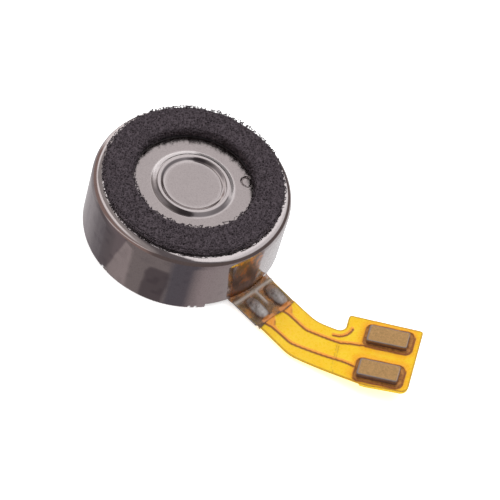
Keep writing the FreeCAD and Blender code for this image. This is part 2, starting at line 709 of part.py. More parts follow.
def tail_layers():
    """Base film, copper, cover film with its two openings, and the stiffener."""
    film_top = value("dim.film_thickness")
    film_plan = plan_prism([Part.Face(tail_outline(value("dim.film_start")))])
    keep("tail_film", bent_layer(0, film_top).common(film_plan))
    copper = [
        track("trace_inner", INNER_TAPER, INNER_ROUTE, "inner"),
        track("trace_outer", OUTER_TAPER, OUTER_ROUTE, "outer"),
        tear_stop(),
    ]
    cover = bent_layer(film_top, film_top + value("dim.cover_thickness"))
    cover = cover.common(plan_prism([Part.Face(tail_outline(value("dim.cover_start")))]))
    for which in ("inner", "outer"):
        opening = pad_outline(which, value("dim.pad_opening_margin"))
        cover = cover.cut(plan_prism([Part.Face(opening)]))
    for piece in copper:
        cover = cover.cut(piece)
    keep("tail_coverlay", cover)
    plate = bent_layer(-value("dim.stiffener_thickness"), 0).common(film_plan)
    beyond = Part.makeBox(10, 20, 10, FreeCAD.Vector(value("dim.stiffener_start"), -15, -2))
    keep("stiffener", plate.common(beyond))


def contact_pad(which):
    """Raised metal block on its copper land, tilted with the tab."""
    body = new_body("contact_pad_" + which)
    tilt = FreeCAD.Rotation(Y_AXIS, -value("dim.rise_angle"))
    rise = "tan(dim.rise_angle / 2) * (dim.bend_end - dim.bend_start)"
    start = FreeCAD.Vector(value("dim.bend_end"), 0,
                           value(f"dim.base_thickness + dim.circuit_thickness + {rise}"))
    body.Placement = FreeCAD.Placement(start, tilt)
    sketch = new_sketch(body, level="dim.film_thickness + dim.copper_thickness")
    middle = (f"(dim.pad_{which}_x - dim.bend_end) / cos(dim.rise_angle)", f"dim.pad_{which}_y")
    corners = []
    for a, b in (("-", "-"), ("", "-"), ("", ""), ("-", "")):
        along, across = f"({a}dim.pad_length / 2)", f"({b}dim.pad_width / 2)"
        corners.append((f"{middle[0]} + {along} * cos(dim.pad_turn) - {across} * sin(dim.pad_turn)",
                        f"{middle[1]} + {along} * sin(dim.pad_turn) + {across} * cos(dim.pad_turn)"))
    add_polygon(sketch, corners)
    block = pad(body, sketch, "dim.pad_height")
    top = block.Shape.BoundBox.ZMax
    round_edges(body, "Fillet", "dim.pad_corner_radius", lambda edge: (
        abs(edge.Vertexes[0].Z - edge.Vertexes[-1].Z) > 0.01))
    round_edges(body, "Fillet", "dim.pad_edge_radius", lambda edge: (
        edge.Vertexes[0].Z > top - 0.01 and edge.Vertexes[-1].Z > top - 0.01))


def solder_joint(label, side):
    """Half of a flattened bead of solder on its copper land."""
    bead = doc.addObject("Part::Ellipsoid", label)
    bead.Label = label
    bead.Angle1 = 0
    bead.setExpression("Radius1", "dim.solder_height")
    bead.setExpression("Radius2", "dim.solder_half_length")
    bead.setExpression("Radius3", "dim.solder_half_width")
    x, y = turned_point(value("dim.solder_distance"), side * value("dim.solder_offset"),
                        value("dim.tail_angle"))
    z = value("dim.base_thickness + dim.circuit_thickness + dim.film_thickness"
              " + dim.copper_thickness")
    bead.Placement = FreeCAD.Placement(FreeCAD.Vector(x, y, z),
                                       FreeCAD.Rotation(Z_AXIS, value("dim.tail_angle")))


def insulating_tape():
    """Tape over the solder joints; its section has a hump over each of them."""
    body = new_body("insulating_tape", turned=True)
    sketch = new_sketch(body, "YZ_Plane", "dim.tape_start")
    low = ("dim.base_thickness + dim.circuit_thickness + dim.film_thickness"
           " + dim.cover_thickness + dim.tape_lift")
    high = (f"{low} - dim.cover_thickness + dim.copper_thickness + dim.solder_height"
            " + dim.tape_lift")
    skin = "dim.tape_thickness"
    inner, outer = "dim.solder_offset - 0.36", "dim.solder_offset + 0.36"
    foot = 0.12
    half = [("0", low), (f"{inner} - {foot}", low), (inner, high), (outer, high),
            (f"{outer} + {foot}", low), ("dim.tape_half_width", low)]
    under = [(f"-({y})", z) for y, z in reversed(half[1:])] + half[1:]
    over = [(y, f"{z} + {skin}") for y, z in reversed(under)]
    add_polygon(sketch, under + over)
    pad(body, sketch, "dim.tape_end - dim.tape_start")


# ---- the whole motor -----------------------------------------------------------------

can()
bracket()
motor_flex()
shaft()
BORE = "dim.shaft_radius + dim.running_clearance"
ring("bearing", BORE, "dim.bearing_radius", "dim.bearing_bottom",
     "dim.bearing_top - dim.bearing_bottom")
ring("lower_washer", BORE, "dim.washer_radius", "dim.boss_top", "dim.washer_thickness")
ring("upper_washer", BORE, "dim.washer_radius",
     f"{CEILING} - dim.washer_thickness", "dim.washer_thickness")
ring_magnet()
brush("brush_positive", 0)
brush("brush_negative", 180)
rotor_board()
commutator()
coil("coil_a", "")
coil("coil_b", "-")
counterweight()
rotor_mould()
ring("foam_adhesive", "dim.foam_inner_radius", "dim.foam_outer_radius", "dim.can_height",
     "dim.adhesive_thickness")
ring("foam_ring", "dim.foam_inner_radius", "dim.foam_outer_radius",
     "dim.can_height + dim.adhesive_thickness", "dim.foam_thickness")
tail_layers()
contact_pad("inner")
contact_pad("outer")
solder_joint("solder_joint_inner", 1)
solder_joint("solder_joint_outer", -1)
insulating_tape()
doc.recompute()

for item in doc.Objects:
    bad = {"Invalid", "Error"} & set(item.State)
    assert not bad, f"{item.Name}: {sorted(bad)}"

HELPERS = ("commutator_outer", "commutator_inner", "commutator_slot", "commutator_cutters")
subparts = [item for item in doc.Objects
            if item.TypeId == "PartDesign::Body"
            or (item.TypeId.startswith("Part::") and not item.Name.startswith(HELPERS))]
os.makedirs(PARTS_FOLDER, exist_ok=True)
for item in subparts:
    shape = item.Shape
    assert not shape.isNull() and shape.isValid(), item.Label + " is not a valid shape"
    shape.exportStep(os.path.join(PARTS_FOLDER, item.Label + ".step"))
    box = shape.BoundBox
    print(f"{item.Label:22s} solids {len(shape.Solids)} volume {shape.Volume:8.4f} "
          f"x {box.XMin:.2f}..{box.XMax:.2f} y {box.YMin:.2f}..{box.YMax:.2f} "
          f"z {box.ZMin:.2f}..{box.ZMax:.2f}")
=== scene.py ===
"""Vibration coin motor: the looks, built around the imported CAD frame.

Helper sizes are in millimetres in the frame's own axes and become metres when a mesh is made.
"""
import math

import bmesh
import bpy
import numpy as np
from mathutils import Matrix, Vector
from mathutils.geometry import delaunay_2d_cdt


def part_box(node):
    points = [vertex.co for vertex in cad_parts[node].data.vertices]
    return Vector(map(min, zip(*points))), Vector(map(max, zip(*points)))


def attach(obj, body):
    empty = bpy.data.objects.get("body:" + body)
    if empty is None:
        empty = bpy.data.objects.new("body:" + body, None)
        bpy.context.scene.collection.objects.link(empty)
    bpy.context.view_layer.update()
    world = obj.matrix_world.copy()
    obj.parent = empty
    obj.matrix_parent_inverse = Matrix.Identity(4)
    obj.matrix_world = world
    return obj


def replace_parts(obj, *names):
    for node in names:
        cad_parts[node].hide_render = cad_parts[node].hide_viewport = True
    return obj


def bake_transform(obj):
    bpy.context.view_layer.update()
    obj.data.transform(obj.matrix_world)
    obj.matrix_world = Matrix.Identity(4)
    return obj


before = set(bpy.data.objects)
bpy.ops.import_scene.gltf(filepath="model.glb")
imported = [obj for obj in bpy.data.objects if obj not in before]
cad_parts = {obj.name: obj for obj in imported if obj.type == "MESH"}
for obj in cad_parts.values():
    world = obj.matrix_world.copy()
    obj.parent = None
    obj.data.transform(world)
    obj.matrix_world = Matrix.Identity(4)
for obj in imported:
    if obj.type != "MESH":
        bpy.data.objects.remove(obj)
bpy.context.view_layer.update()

METRES = 0.001


def box_mm(node):
    """Lowest and highest corner of a CAD node, in millimetres."""
    low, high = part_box(node)
    return np.array(low) / METRES, np.array(high) / METRES


# ---- sizes that the frame gives

CAN_RADIUS = box_mm("can")[1][0]
CAN_WALL = 0.15
LUGS = (-94, 94, 180)  # the base's lugs, in degrees from the tail's heading
CAN_TOP = box_mm("foam_adhesive")[0][2]
FOAM_LOW, FOAM_HIGH = box_mm("foam_ring")
FOAM_OUTER = FOAM_HIGH[0]
FOAM_INNER = 3.0
FOAM_SHIFT = 0.07  # along Y, as the ring sits a little off the can's centre
BASE_TOP = box_mm("motor_flex")[0][2]
FILM_BOTTOM = box_mm("tail_film")[0][2]
COPPER_TOP = box_mm("solder_joint_inner")[0][2]
COVER_TOP = FILM_BOTTOM + 0.11
TAIL_HEADING = math.radians(-33.0)


# ---- numbers

def smooth(low, high, x):
    """0 below low, 1 above high, and a smooth step between them."""
    t = np.clip((np.asarray(x, float) - low) / (high - low), 0, 1)
    return t * t * (3 - 2 * t)


def between(start, full, fading, end, x):
    """0 outside start and end, 1 from full to fading, and smooth steps in between."""
    return smooth(start, full, x) * smooth(end, fading, x)


def polar(points):
    """Distance from the Z axis, angle in degrees and height of each point."""
    x, y, z = np.moveaxis(points, -1, 0)
    return np.hypot(x, y), np.degrees(np.arctan2(y, x)), z


def hashed(cells, seed):
    """A repeatable pseudo-random number from 0 to 1 for each row of whole numbers."""
    mixed = cells.astype(np.float64) @ np.array([12.9898, 78.233, 37.719][:cells.shape[1]])
    return np.modf(np.abs(np.sin(mixed + seed * 4.137)) * 43758.5453)[0]


def cell_noise(points, size, seed=0):
    """Distance to the nearest and second nearest cell centre, in cells, and the cell's number."""
    scaled = points / size
    base = np.floor(scaled)
    first = np.full(len(points), 9.0)
    second = np.full(len(points), 9.0)
    owner = np.zeros(len(points))
    steps = (-1, 0, 1)
    for offset in ((i, j, k) for i in steps for j in steps for k in steps):
        cell = base + offset
        jitter = np.stack([hashed(cell, seed + axis) for axis in range(3)], axis=1)
        far = np.linalg.norm(cell + jitter - scaled, axis=1)
        nearer = far < first
        second = np.where(nearer, first, np.minimum(second, far))
        owner = np.where(nearer, hashed(cell, seed + 7), owner)
        first = np.minimum(first, far)
    return first, second, owner


def value_noise(points, size, seed=0):
    """Smooth noise from -1 to 1."""
    scaled = points / size
    base = np.floor(scaled)
    share = scaled - base
    share = share * share * (3 - 2 * share)
    total = np.zeros(len(points))
    for corner in ((i, j, k) for i in (0, 1) for j in (0, 1) for k in (0, 1)):
        weight = np.prod([share[:, a] if c else 1 - share[:, a] for a, c in enumerate(corner)], 0)
        total += weight * hashed(base + corner, seed)
    return total * 2 - 1


def segment_distance(points, start, end):
    """Distance in the plane from each point to one segment."""
    run = end - start
    share = np.clip(((points - start) @ run) / (run @ run), 0, 1)
    return np.linalg.norm(points - start - share[:, None] * run, axis=1)


def route_distance(points, route):
    """Distance in the plane from each point to a run of segments."""
    route = np.asarray(route, float)
    return np.min([segment_distance(points, a, b) for a, b in zip(route[:-1], route[1:])], 0)


def inside(points, outline):
    """Which points lie in a closed outline."""
    x, y = points[:, 0], points[:, 1]
    odd = np.zeros(len(points), bool)
    for (ax, ay), (bx, by) in zip(outline, np.roll(outline, -1, 0)):
        if ay != by:
            odd ^= ((ay > y) != (by > y)) & (x < (bx - ax) * (y - ay) / (by - ay) + ax)
    return odd


def outline_distance(points, outline):
    """Signed distance to a closed outline, negative inside."""
    far = route_distance(points, np.vstack([outline, outline[:1]]))
    return np.where(inside(points, outline), -far, far)


def turned(along, across, angle=TAIL_HEADING, start=(0.0, 0.0)):
    """Plan point or points from a distance along and across a heading."""
    c, s = math.cos(angle), math.sin(angle)
    along, across = np.asarray(along, float), np.asarray(across, float)
    return np.stack([start[0] + along * c - across * s, start[1] + along * s + across * c], -1)


def rounded_outline(corners, step=0.04):
    """Closed run of points through corners (x, y, radius), each rounded to its radius."""
    out = []
    for i, (x, y, radius) in enumerate(corners):
        here = np.array([x, y])
        back = np.array(corners[i - 1][:2]) - here
        on = np.array(corners[(i + 1) % len(corners)][:2]) - here
        back, on = back / np.linalg.norm(back), on / np.linalg.norm(on)
        sweep = math.pi - math.acos(np.clip(back @ on, -1, 1))
        if not radius:
            out.append(here[None])
            continue
        middle = here + (back + on) / np.linalg.norm(back + on) * radius / math.cos(sweep / 2)
        cut = radius * math.tan(sweep / 2)
        first, last = here + back * cut - middle, here + on * cut - middle
        share = np.linspace(0, 1, max(3, int(radius * sweep / step) + 1) + 1)[:, None]
        arc = first * np.sin((1 - share) * sweep) + last * np.sin(share * sweep)
        out.append(middle + arc / math.sin(sweep))
    return np.vstack(out)


def with_steps(outline, step):
    """The same closed outline with no side longer than step."""
    out = []
    for a, b in zip(outline, np.roll(outline, -1, 0)):
        count = max(1, int(math.ceil(np.linalg.norm(b - a) / step)))
        out.append(a + (b - a) * (np.arange(count) / count)[:, None])
    return np.vstack(out)


# ---- meshes

def add_object(name, data):
    """A new object in the scene."""
    made = bpy.data.objects.new(name, data)
    bpy.context.scene.collection.objects.link(made)
    return made


def mesh_object(name, mesh, sharp, change):
    """A new object from a mesh that is welded, changed by a function and shaded."""
    work = bmesh.new()
    work.from_mesh(mesh)
    bmesh.ops.remove_doubles(work, verts=work.verts, dist=2e-8)
    change(work)
    work.to_mesh(mesh)
    work.free()
    mesh.shade_smooth()
    mesh.set_sharp_from_angle(angle=math.radians(sharp))
    return add_object(name, mesh)


def make_piece(name, points, faces, sharp=35):
    """A shaded mesh object from points in millimetres."""
    mesh = bpy.data.meshes.new(name)
    mesh.from_pydata((np.asarray(points) * METRES).tolist(), [], faces)
    return mesh_object(name, mesh, sharp,
                       lambda work: bmesh.ops.recalc_face_normals(work, faces=work.faces))


def grid_faces(rows, columns, wrap_rows=False, wrap_columns=False):
    """Four-sided faces of a grid of points stored row by row."""
    row = np.arange(rows if wrap_rows else rows - 1)
    column = np.arange(columns if wrap_columns else columns - 1)
    r, c = (a.ravel() for a in np.meshgrid(row, column, indexing="ij"))
    r2, c2 = (r + 1) % rows, (c + 1) % columns
    quads = [r * columns + c, r * columns + c2, r2 * columns + c2, r2 * columns + c]
    return np.stack(quads, 1).tolist()


def full_turn(count):
    """Angles of equal steps round a circle."""
    return np.linspace(0, 2 * math.pi, count + 1)[:-1]


def spun(profile, angles):
    """Points of a profile of (radius, height) turned about Z, row by row."""
    radius, height = profile[:, :1], profile[:, 1:] + 0 * angles
    return np.stack([radius * np.cos(angles), radius * np.sin(angles), height], -1).reshape(-1, 3)


def lathe(name, profile, angles):
    """A closed solid turned about Z from a closed profile of (radius, height)."""
    faces = grid_faces(len(profile), len(angles), True, True)
    return make_piece(name, spun(np.asarray(profile, float), angles), faces)


def plate(name, outline, top, bottom, step, holes=()):
    """A closed thin solid over a plan outline; top and bottom give its heights."""
    outline = with_steps(outline, step)
    holes = [with_steps(hole, step) for hole in holes]
    low, high = outline.min(0), outline.max(0)
    gx, gy = np.meshgrid(np.arange(low[0], high[0], step),
                         np.arange(low[1], high[1], step * 0.87))
    gx[1::2] += step / 2
    grid = np.stack([gx.ravel(), gy.ravel()], 1)
    keep = outline_distance(grid, outline) < -step * 0.45
    for hole in holes:
        keep &= outline_distance(grid, hole) > step * 0.45
    loops = [outline, *holes]
    edges = []
    for loop in loops:
        index = np.arange(len(loop)) + len(edges)
        edges += np.stack([index, np.roll(index, -1)], 1).tolist()
    points = [Vector(p) for p in np.vstack([*loops, grid[keep]])]
    found = delaunay_2d_cdt(points, edges, [], 0, 1e-6)
    plan = np.array([tuple(v) for v in found[0]])
    triangles = np.array([t for t in found[2] if len(t) == 3])
    middle = plan[triangles].mean(1)
    solid = inside(middle, outline)
    for hole in holes:
        solid &= ~inside(middle, hole)
    triangles = triangles[solid]
    used, number = np.unique(triangles, return_inverse=True)
    plan, triangles = plan[used], number.reshape(-1, 3)
    count = len(plan)
    faces = triangles.tolist()
    sides = {(a, b): None for tri in faces for a, b in zip(tri, tri[1:] + tri[:1])}
    faces += (triangles[:, ::-1] + count).tolist()
    faces += [[b, a, a + count, b + count] for a, b in sides if (b, a) not in sides]
    both = [np.column_stack([plan, height(plan)]) for height in (top, bottom)]
    return make_piece(name, np.vstack(both), faces)


def paint(piece, name, field):
    """Store a number from 0 to 1 at each point: an array, or a function of the points."""
    if callable(field):
        field = field(np.array([v.co for v in piece.data.vertices]) / METRES)
    layer = piece.data.attributes.new(name, "FLOAT", "POINT")
    layer.data.foreach_set("value", np.asarray(field, np.float32))


def cad_copy(name, node, cuts=()):
    """A new piece with a CAD node's shape, cut across X at the given places."""
    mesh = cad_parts[node].data.copy()
    mesh.materials.clear()

    def cut(work):
        for x in cuts:
            bmesh.ops.bisect_plane(work, geom=work.verts[:] + work.edges[:] + work.faces[:],
                                   dist=1e-8, plane_co=(x * METRES, 0, 0), plane_no=(1, 0, 0))

    return mesh_object(name, mesh, 30, cut)


# ---- materials

def feed(tree, socket, item):
    """Link a node's output to a socket, or set the socket to a number, vector or colour."""
    if isinstance(item, bpy.types.NodeSocket):
        tree.links.new(item, socket)
    elif socket.type == "RGBA":
        socket.default_value = (*item, 1)
    else:
        socket.default_value = item


def mix_colours(tree, factor, first, second, blend="MIX"):
    """One colour laid over another by a factor."""
    made = tree.nodes.new("ShaderNodeMix")
    made.data_type = "RGBA"
    made.blend_type = blend
    for index, item in ((0, factor), (6, first), (7, second)):
        feed(tree, made.inputs[index], item)
    return made.outputs[2]


def colour_ramp(tree, factor, stops):
    """Colours or greys along a factor; each stop is (place, colour or grey)."""
    made = tree.nodes.new("ShaderNodeValToRGB")
    tree.links.new(factor, made.inputs[0])
    bar = made.color_ramp
    while len(bar.elements) < len(stops):
        bar.elements.new(0.5)
    for element, (place, tone) in zip(bar.elements, stops):
        element.position = place
        element.color = (*np.broadcast_to(tone, 3), 1)
    return made.outputs["Color"]


class Shader:
    """One node material, built from named steps."""

    def __init__(self, name, **sockets):
        self.material = bpy.data.materials.new(name)
        self.material.use_nodes = True
        self.tree = self.material.node_tree
        self.surface = self.tree.nodes["Principled BSDF"]
        for socket, number in sockets.items():
            self.surface.inputs[socket.replace("_", " ")].default_value = number
        self.place = self.tree.nodes.new("ShaderNodeTexCoord").outputs["Object"]

    def node(self, kind, **inputs):
        made = self.tree.nodes.new("ShaderNode" + kind)
        for key, item in inputs.items():
            feed(self.tree, made.inputs[key], item)
        return made

    def noise(self, per_mm, detail=4.0, rough=0.55, stretch=None):
        place = self.place
        if stretch:
            place = self.node("Mapping", Vector=place, Scale=stretch).outputs[0]
        return self.node("TexNoise", Vector=place, Scale=per_mm / METRES, Detail=detail,
                         Roughness=rough).outputs["Fac"]

    def cells(self, per_mm):
        return self.node("TexVoronoi", Vector=self.place, Scale=per_mm / METRES).outputs[0]

    def attribute(self, name):
        made = self.node("Attribute")
        made.attribute_name = name
        return made.outputs["Fac"]

    def ramp(self, factor, *stops):
        return colour_ramp(self.tree, factor, stops)

    def grain(self, low, high, *noise):
        """Noise that runs from one tone to another."""
        return self.ramp(self.noise(*noise), (0.3, low), (0.7, high))

    def mix(self, *inputs):
        return mix_colours(self.tree, *inputs)

    def drive(self, name, item):
        self.tree.links.new(item, self.surface.inputs[name])

    def colour(self, item):
        self.drive("Base Color", item)

    def rough(self, item):
        self.drive("Roughness", item)

    def bump(self, height, depth_mm):
        made = self.node("Bump", Height=height, Strength=1.0, Distance=depth_mm * METRES)
        for before in self.surface.inputs["Normal"].links:
            self.tree.links.new(before.from_socket, made.inputs["Normal"])
        self.drive("Normal", made.outputs[0])


def dress(piece, shader):
    """Give a piece or a CAD node one material."""
    piece.data.materials.clear()
    piece.data.materials.append(shader.material)


def nickel():
    """Polished nickel plate: satin on top, tarnished wall with a painted dark reflection by the lug
    notch, a painted reflection of the tape on the wall, and painted shade and a painted highlight as
    bands round the bead.
    """
    s = Shader("nickel_plate", Metallic=1.0, Roughness=0.1)
    cloud = s.noise(0.5, 5)
    satin = s.attribute("satin")
    matt_tone = s.ramp(cloud, (0.25, (0.415, 0.37, 0.365)), (0.75, (0.455, 0.405, 0.398)))
    plate = s.mix(satin, (0.7, 0.645, 0.64), matt_tone)
    speck = s.ramp(s.noise(16.0, 4, 0.8), (0.36, (0.8, 0.79, 0.79)), (0.5, (1.0, 1.0, 1.0)))
    plate = s.mix(0.8, plate, speck, "MULTIPLY")
    # wall tone: a tarnished blob and random mottle, plus a painted shade, a slanting dark band by
    # the lug notch standing in for a reflection
    plate = s.mix(s.attribute("tarnish_and_painted_shade"), plate, (0.283, 0.247, 0.271))
    # painted shade: dark reflections painted on the bead's front outer slope and back inner slope
    plate = s.mix(s.attribute("painted_bead_shade"), plate, (0.13, 0.115, 0.12))
    # painted reflection of the tape: a brown streaked tone with orange, and a rougher finish, on the
    # wall above the tail
    streak = s.noise(2.6, 6, 0.65, stretch=(1.0, 1.0, 0.6))
    brown = s.ramp(streak, (0.4, (0.24, 0.175, 0.175)), (0.53, (0.36, 0.25, 0.245)),
                   (0.59, (0.8, 0.33, 0.12)), (0.65, (0.38, 0.265, 0.255)))
    painted_tape_reflection = s.attribute("painted_tape_reflection")
    # painted highlight: a light, less metallic crescent at the bead's outer foot
    painted_foot_highlight = s.attribute("painted_foot_highlight")
    s.colour(s.mix(painted_tape_reflection, s.mix(painted_foot_highlight, plate, (0.76, 0.71, 0.71)), brown))
    s.drive("Metallic", s.ramp(painted_foot_highlight, (0.0, 1.0), (1.0, 0.15)))
    polished = s.ramp(cloud, (0.3, 0.05), (0.7, 0.09))
    matt = s.grain(0.16, 0.26, 9.0, 6, 0.7)
    s.rough(s.mix(painted_tape_reflection, s.mix(satin, polished, matt), (0.42, 0.42, 0.42)))
    s.bump(s.noise(0.7, 2), 0.006)
    s.bump(s.noise(5.0, 4, 0.6, stretch=(1.0, 1.0, 0.12)), 0.0012)
    s.bump(s.noise(14.0, 4, 0.7), 0.0009)
    return s


def base_steel():
    s = Shader("base_steel", Metallic=1.0, Roughness=0.25)
    s.colour(s.grain((0.5, 0.47, 0.44), (0.62, 0.58, 0.55), 0.8, 6))
    s.rough(s.grain(0.2, 0.36, 6, 5))
    s.bump(s.noise(10, 5, 0.7), 0.002)
    return s


def foam():
    """Dark open-cell foam: the pits are painted darker than the struts between them as painted
    shade, and the ring's walls are painted lighter as painted light.
    """
    s = Shader("foam_cells", Roughness=0.95)
    strut_lit_pit_shaded = s.attribute("strut_lit_pit_shaded")
    fine = s.noise(16, 4)
    # painted shade: the cell pits get the dark tone and the struts the lighter one
    dark = s.ramp(fine, (0.3, (0.02, 0.015, 0.018)), (0.7, (0.034, 0.026, 0.031)))
    light = s.ramp(fine, (0.3, (0.056, 0.045, 0.053)), (0.7, (0.105, 0.085, 0.098)))
    # painted light: the ring's inner and outer walls get a lighter tone than its top
    side = s.ramp(strut_lit_pit_shaded, (0.0, (0.055, 0.045, 0.051)), (1.0, (0.2, 0.165, 0.187)))
    s.colour(s.mix(s.attribute("side"), s.mix(strut_lit_pit_shaded, dark, light), side))
    s.bump(s.cells(22), 0.012)
    return s


def film(name, alpha):
    """Amber polyimide; its copper shows through as orange, with a brown line along the tracks' lower
    side that is painted shade.
    """
    s = Shader(name, Roughness=0.28, IOR=1.45, Alpha=alpha)
    tone = s.noise(1.6, 4)
    plain = s.ramp(tone, (0.3, (0.99, 0.62, 0.014)), (0.7, (1.0, 0.71, 0.034)))
    over = s.mix(s.attribute("copper"), plain, (0.98, 0.4, 0.045))
    warm = s.mix(s.attribute("warm"), over, (0.96, 0.42, 0.012))
    # brown marks: painted shade along the tracks' side away from the light, plus the openings' lips,
    # the film's rim and dotted lines
    s.colour(s.mix(s.attribute("edge"), warm, (0.27, 0.085, 0.022)))
    s.rough(s.grain(0.22, 0.36, 7, 4))
    s.bump(s.noise(5, 5, 0.6), 0.004)
    return s


def copper(name):
    s = Shader(name, Metallic=0.5, Roughness=0.35)
    track = s.grain((0.72, 0.33, 0.1), (0.92, 0.47, 0.17), 3, 5)
    # land round each pad: darker brown, partly flux-darkened copper and partly painted shade in the
    # moat round the pad
    land = s.ramp(s.noise(5, 4), (0.35, (0.25, 0.1, 0.03)), (0.65, (0.52, 0.23, 0.06)))
    s.colour(s.mix(s.attribute("land"), track, land))
    s.bump(s.noise(14, 4), 0.002)
    return s


def pad_metal():
    """Gold-brown contact face with silver-grey worn edges and dark sides."""
    s = Shader("contact_metal", Metallic=0.8, Roughness=0.5)
    fine = s.noise(9, 6, 0.75)
    face = s.ramp(fine, (0.28, (0.36, 0.22, 0.09)), (0.45, (0.54, 0.33, 0.138)),
                  (0.6, (0.63, 0.385, 0.165)), (0.74, (0.76, 0.51, 0.26)))
    worn = s.mix(s.attribute("rim"), face, (0.37, 0.315, 0.3))
    s.colour(s.mix(s.attribute("side"), worn, (0.3, 0.215, 0.215)))
    s.rough(s.grain(0.42, 0.62, 12, 5))
    s.bump(fine, 0.006)
    s.bump(s.noise(2.2, 3), 0.01)
    return s


def solder():
    s = Shader("solder", Metallic=1.0, Roughness=0.22)
    s.colour(s.grain((0.42, 0.4, 0.4), (0.72, 0.69, 0.67), 3, 4))
    s.bump(s.noise(6, 4), 0.008)
    return s


def tape():
    """Smoky brown tape with orange streaks, a painted highlight along its creases, and silver-grey
    domes with a painted highlight on their far side.
    """
    s = Shader("smoky_tape", Roughness=0.22, IOR=1.5, Alpha=0.58)
    streak = s.noise(2.2, 6, 0.65)
    base = s.ramp(streak, (0.36, (0.085, 0.05, 0.038)), (0.5, (0.2, 0.115, 0.07)),
                  (0.6, (0.5, 0.2, 0.05)), (0.68, (0.26, 0.15, 0.09)))
    dome = s.ramp(s.noise(4.0, 5, 0.7, stretch=(1.0, 0.45, 1.0)), (0.36, (0.28, 0.235, 0.215)),
                  (0.52, (0.54, 0.5, 0.48)), (0.68, (0.74, 0.7, 0.68)))
    # domes: the solder's grey showing through, with a painted highlight making their far side
    # lighter
    bump = s.attribute("bump")
    over = s.mix(bump, base, dome)
    warm = s.mix(s.attribute("glow"), over, (0.8, 0.33, 0.1))
    # painted highlight: a pale tone along the creases
    s.colour(s.mix(s.attribute("painted_crease_highlight"), warm, (0.58, 0.52, 0.49)))
    s.drive("Metallic", s.ramp(bump, (0.0, 0.0), (1.0, 0.6)))
    s.rough(s.ramp(bump, (0.0, 0.22), (1.0, 0.36)))
    s.bump(s.noise(9, 6, 0.7), 0.012)
    s.bump(s.noise(4, 5), 0.016)
    return s


def plain(name, low, high, per_mm=6.0, metallic=0.0, rough=0.5, depth=0.004):
    """A two-tone material with fine grain, for the pieces that are mostly hidden."""
    s = Shader(name, Metallic=metallic, Roughness=rough)
    s.colour(s.grain(low, high, per_mm, 5))
    s.rough(s.grain(rough * 0.8, min(1, rough * 1.25), per_mm * 2, 4))
    s.bump(s.noise(per_mm * 1.5, 5), depth)
    return s


def winding():
    """Fine enamelled copper wire wound in a flat coil."""
    s = Shader("coil_winding", Metallic=0.8, Roughness=0.3)
    s.colour(s.grain((0.45, 0.16, 0.06), (0.7, 0.3, 0.12), 5, 4))
    s.bump(s.noise(20, 2, stretch=(0.2, 0.2, 3.0)), 0.01)
    return s


# ---- camera, light and floor

CAMERA_AZIMUTH = 1.318
CAMERA_ELEVATION = 51.53
CAMERA_ROLL = 17.86
CAMERA_DISTANCE = 120.37
CAMERA_AIM = (3.646, -0.19, 0.0)
CAMERA_LENS = 172.5


def make_camera():
    camera = add_object("camera", bpy.data.cameras.new("camera"))
    camera.data.lens = CAMERA_LENS
    camera.data.sensor_width = 36.0
    camera.data.clip_start, camera.data.clip_end = 0.01, 10.0
    tilt = Matrix.Rotation(math.radians(90 - CAMERA_ELEVATION), 3, "X")
    swing = Matrix.Rotation(math.radians(-CAMERA_AZIMUTH), 3, "Z")
    facing = swing @ tilt
    roll = Matrix.Rotation(math.radians(CAMERA_ROLL), 3, "Z")
    place = Vector(CAMERA_AIM) + facing @ Vector((0, 0, CAMERA_DISTANCE))
    camera.matrix_world = Matrix.Translation(place * METRES) @ (facing @ roll).to_4x4()
    bpy.context.scene.camera = camera


# brightness of what lies below the horizon all round, by azimuth as a share of a turn
# from -X: dark in front, with soft bands, and light behind
LOW_BANDS = [
    (0.0, (0.23, 0.211, 0.217)), (0.04, (0.243, 0.217, 0.217)), (0.055, (0.3, 0.262, 0.262)),
    (0.117, (0.332, 0.288, 0.288)), (0.127, (0.211, 0.185, 0.185)), (0.25, (0.204, 0.179, 0.179)),
    (0.27, (0.109, 0.102, 0.118)), (0.325, (0.112, 0.102, 0.118)), (0.345, (0.23, 0.198, 0.204)),
    (0.372, (0.32, 0.275, 0.281)), (0.444, (0.345, 0.307, 0.307)), (0.5, (0.383, 0.364, 0.364)),
    (0.556, (0.68, 0.68, 0.69)), (0.611, (0.92, 0.92, 0.93)), (0.722, (0.92, 0.92, 0.93)),
    (0.778, (0.607, 0.594, 0.601)), (0.811, (0.537, 0.511, 0.524)), (0.844, (0.422, 0.396, 0.409)),
    (0.878, (0.332, 0.313, 0.332)), (0.944, (0.256, 0.237, 0.249)), (0.978, (0.23, 0.211, 0.217))]


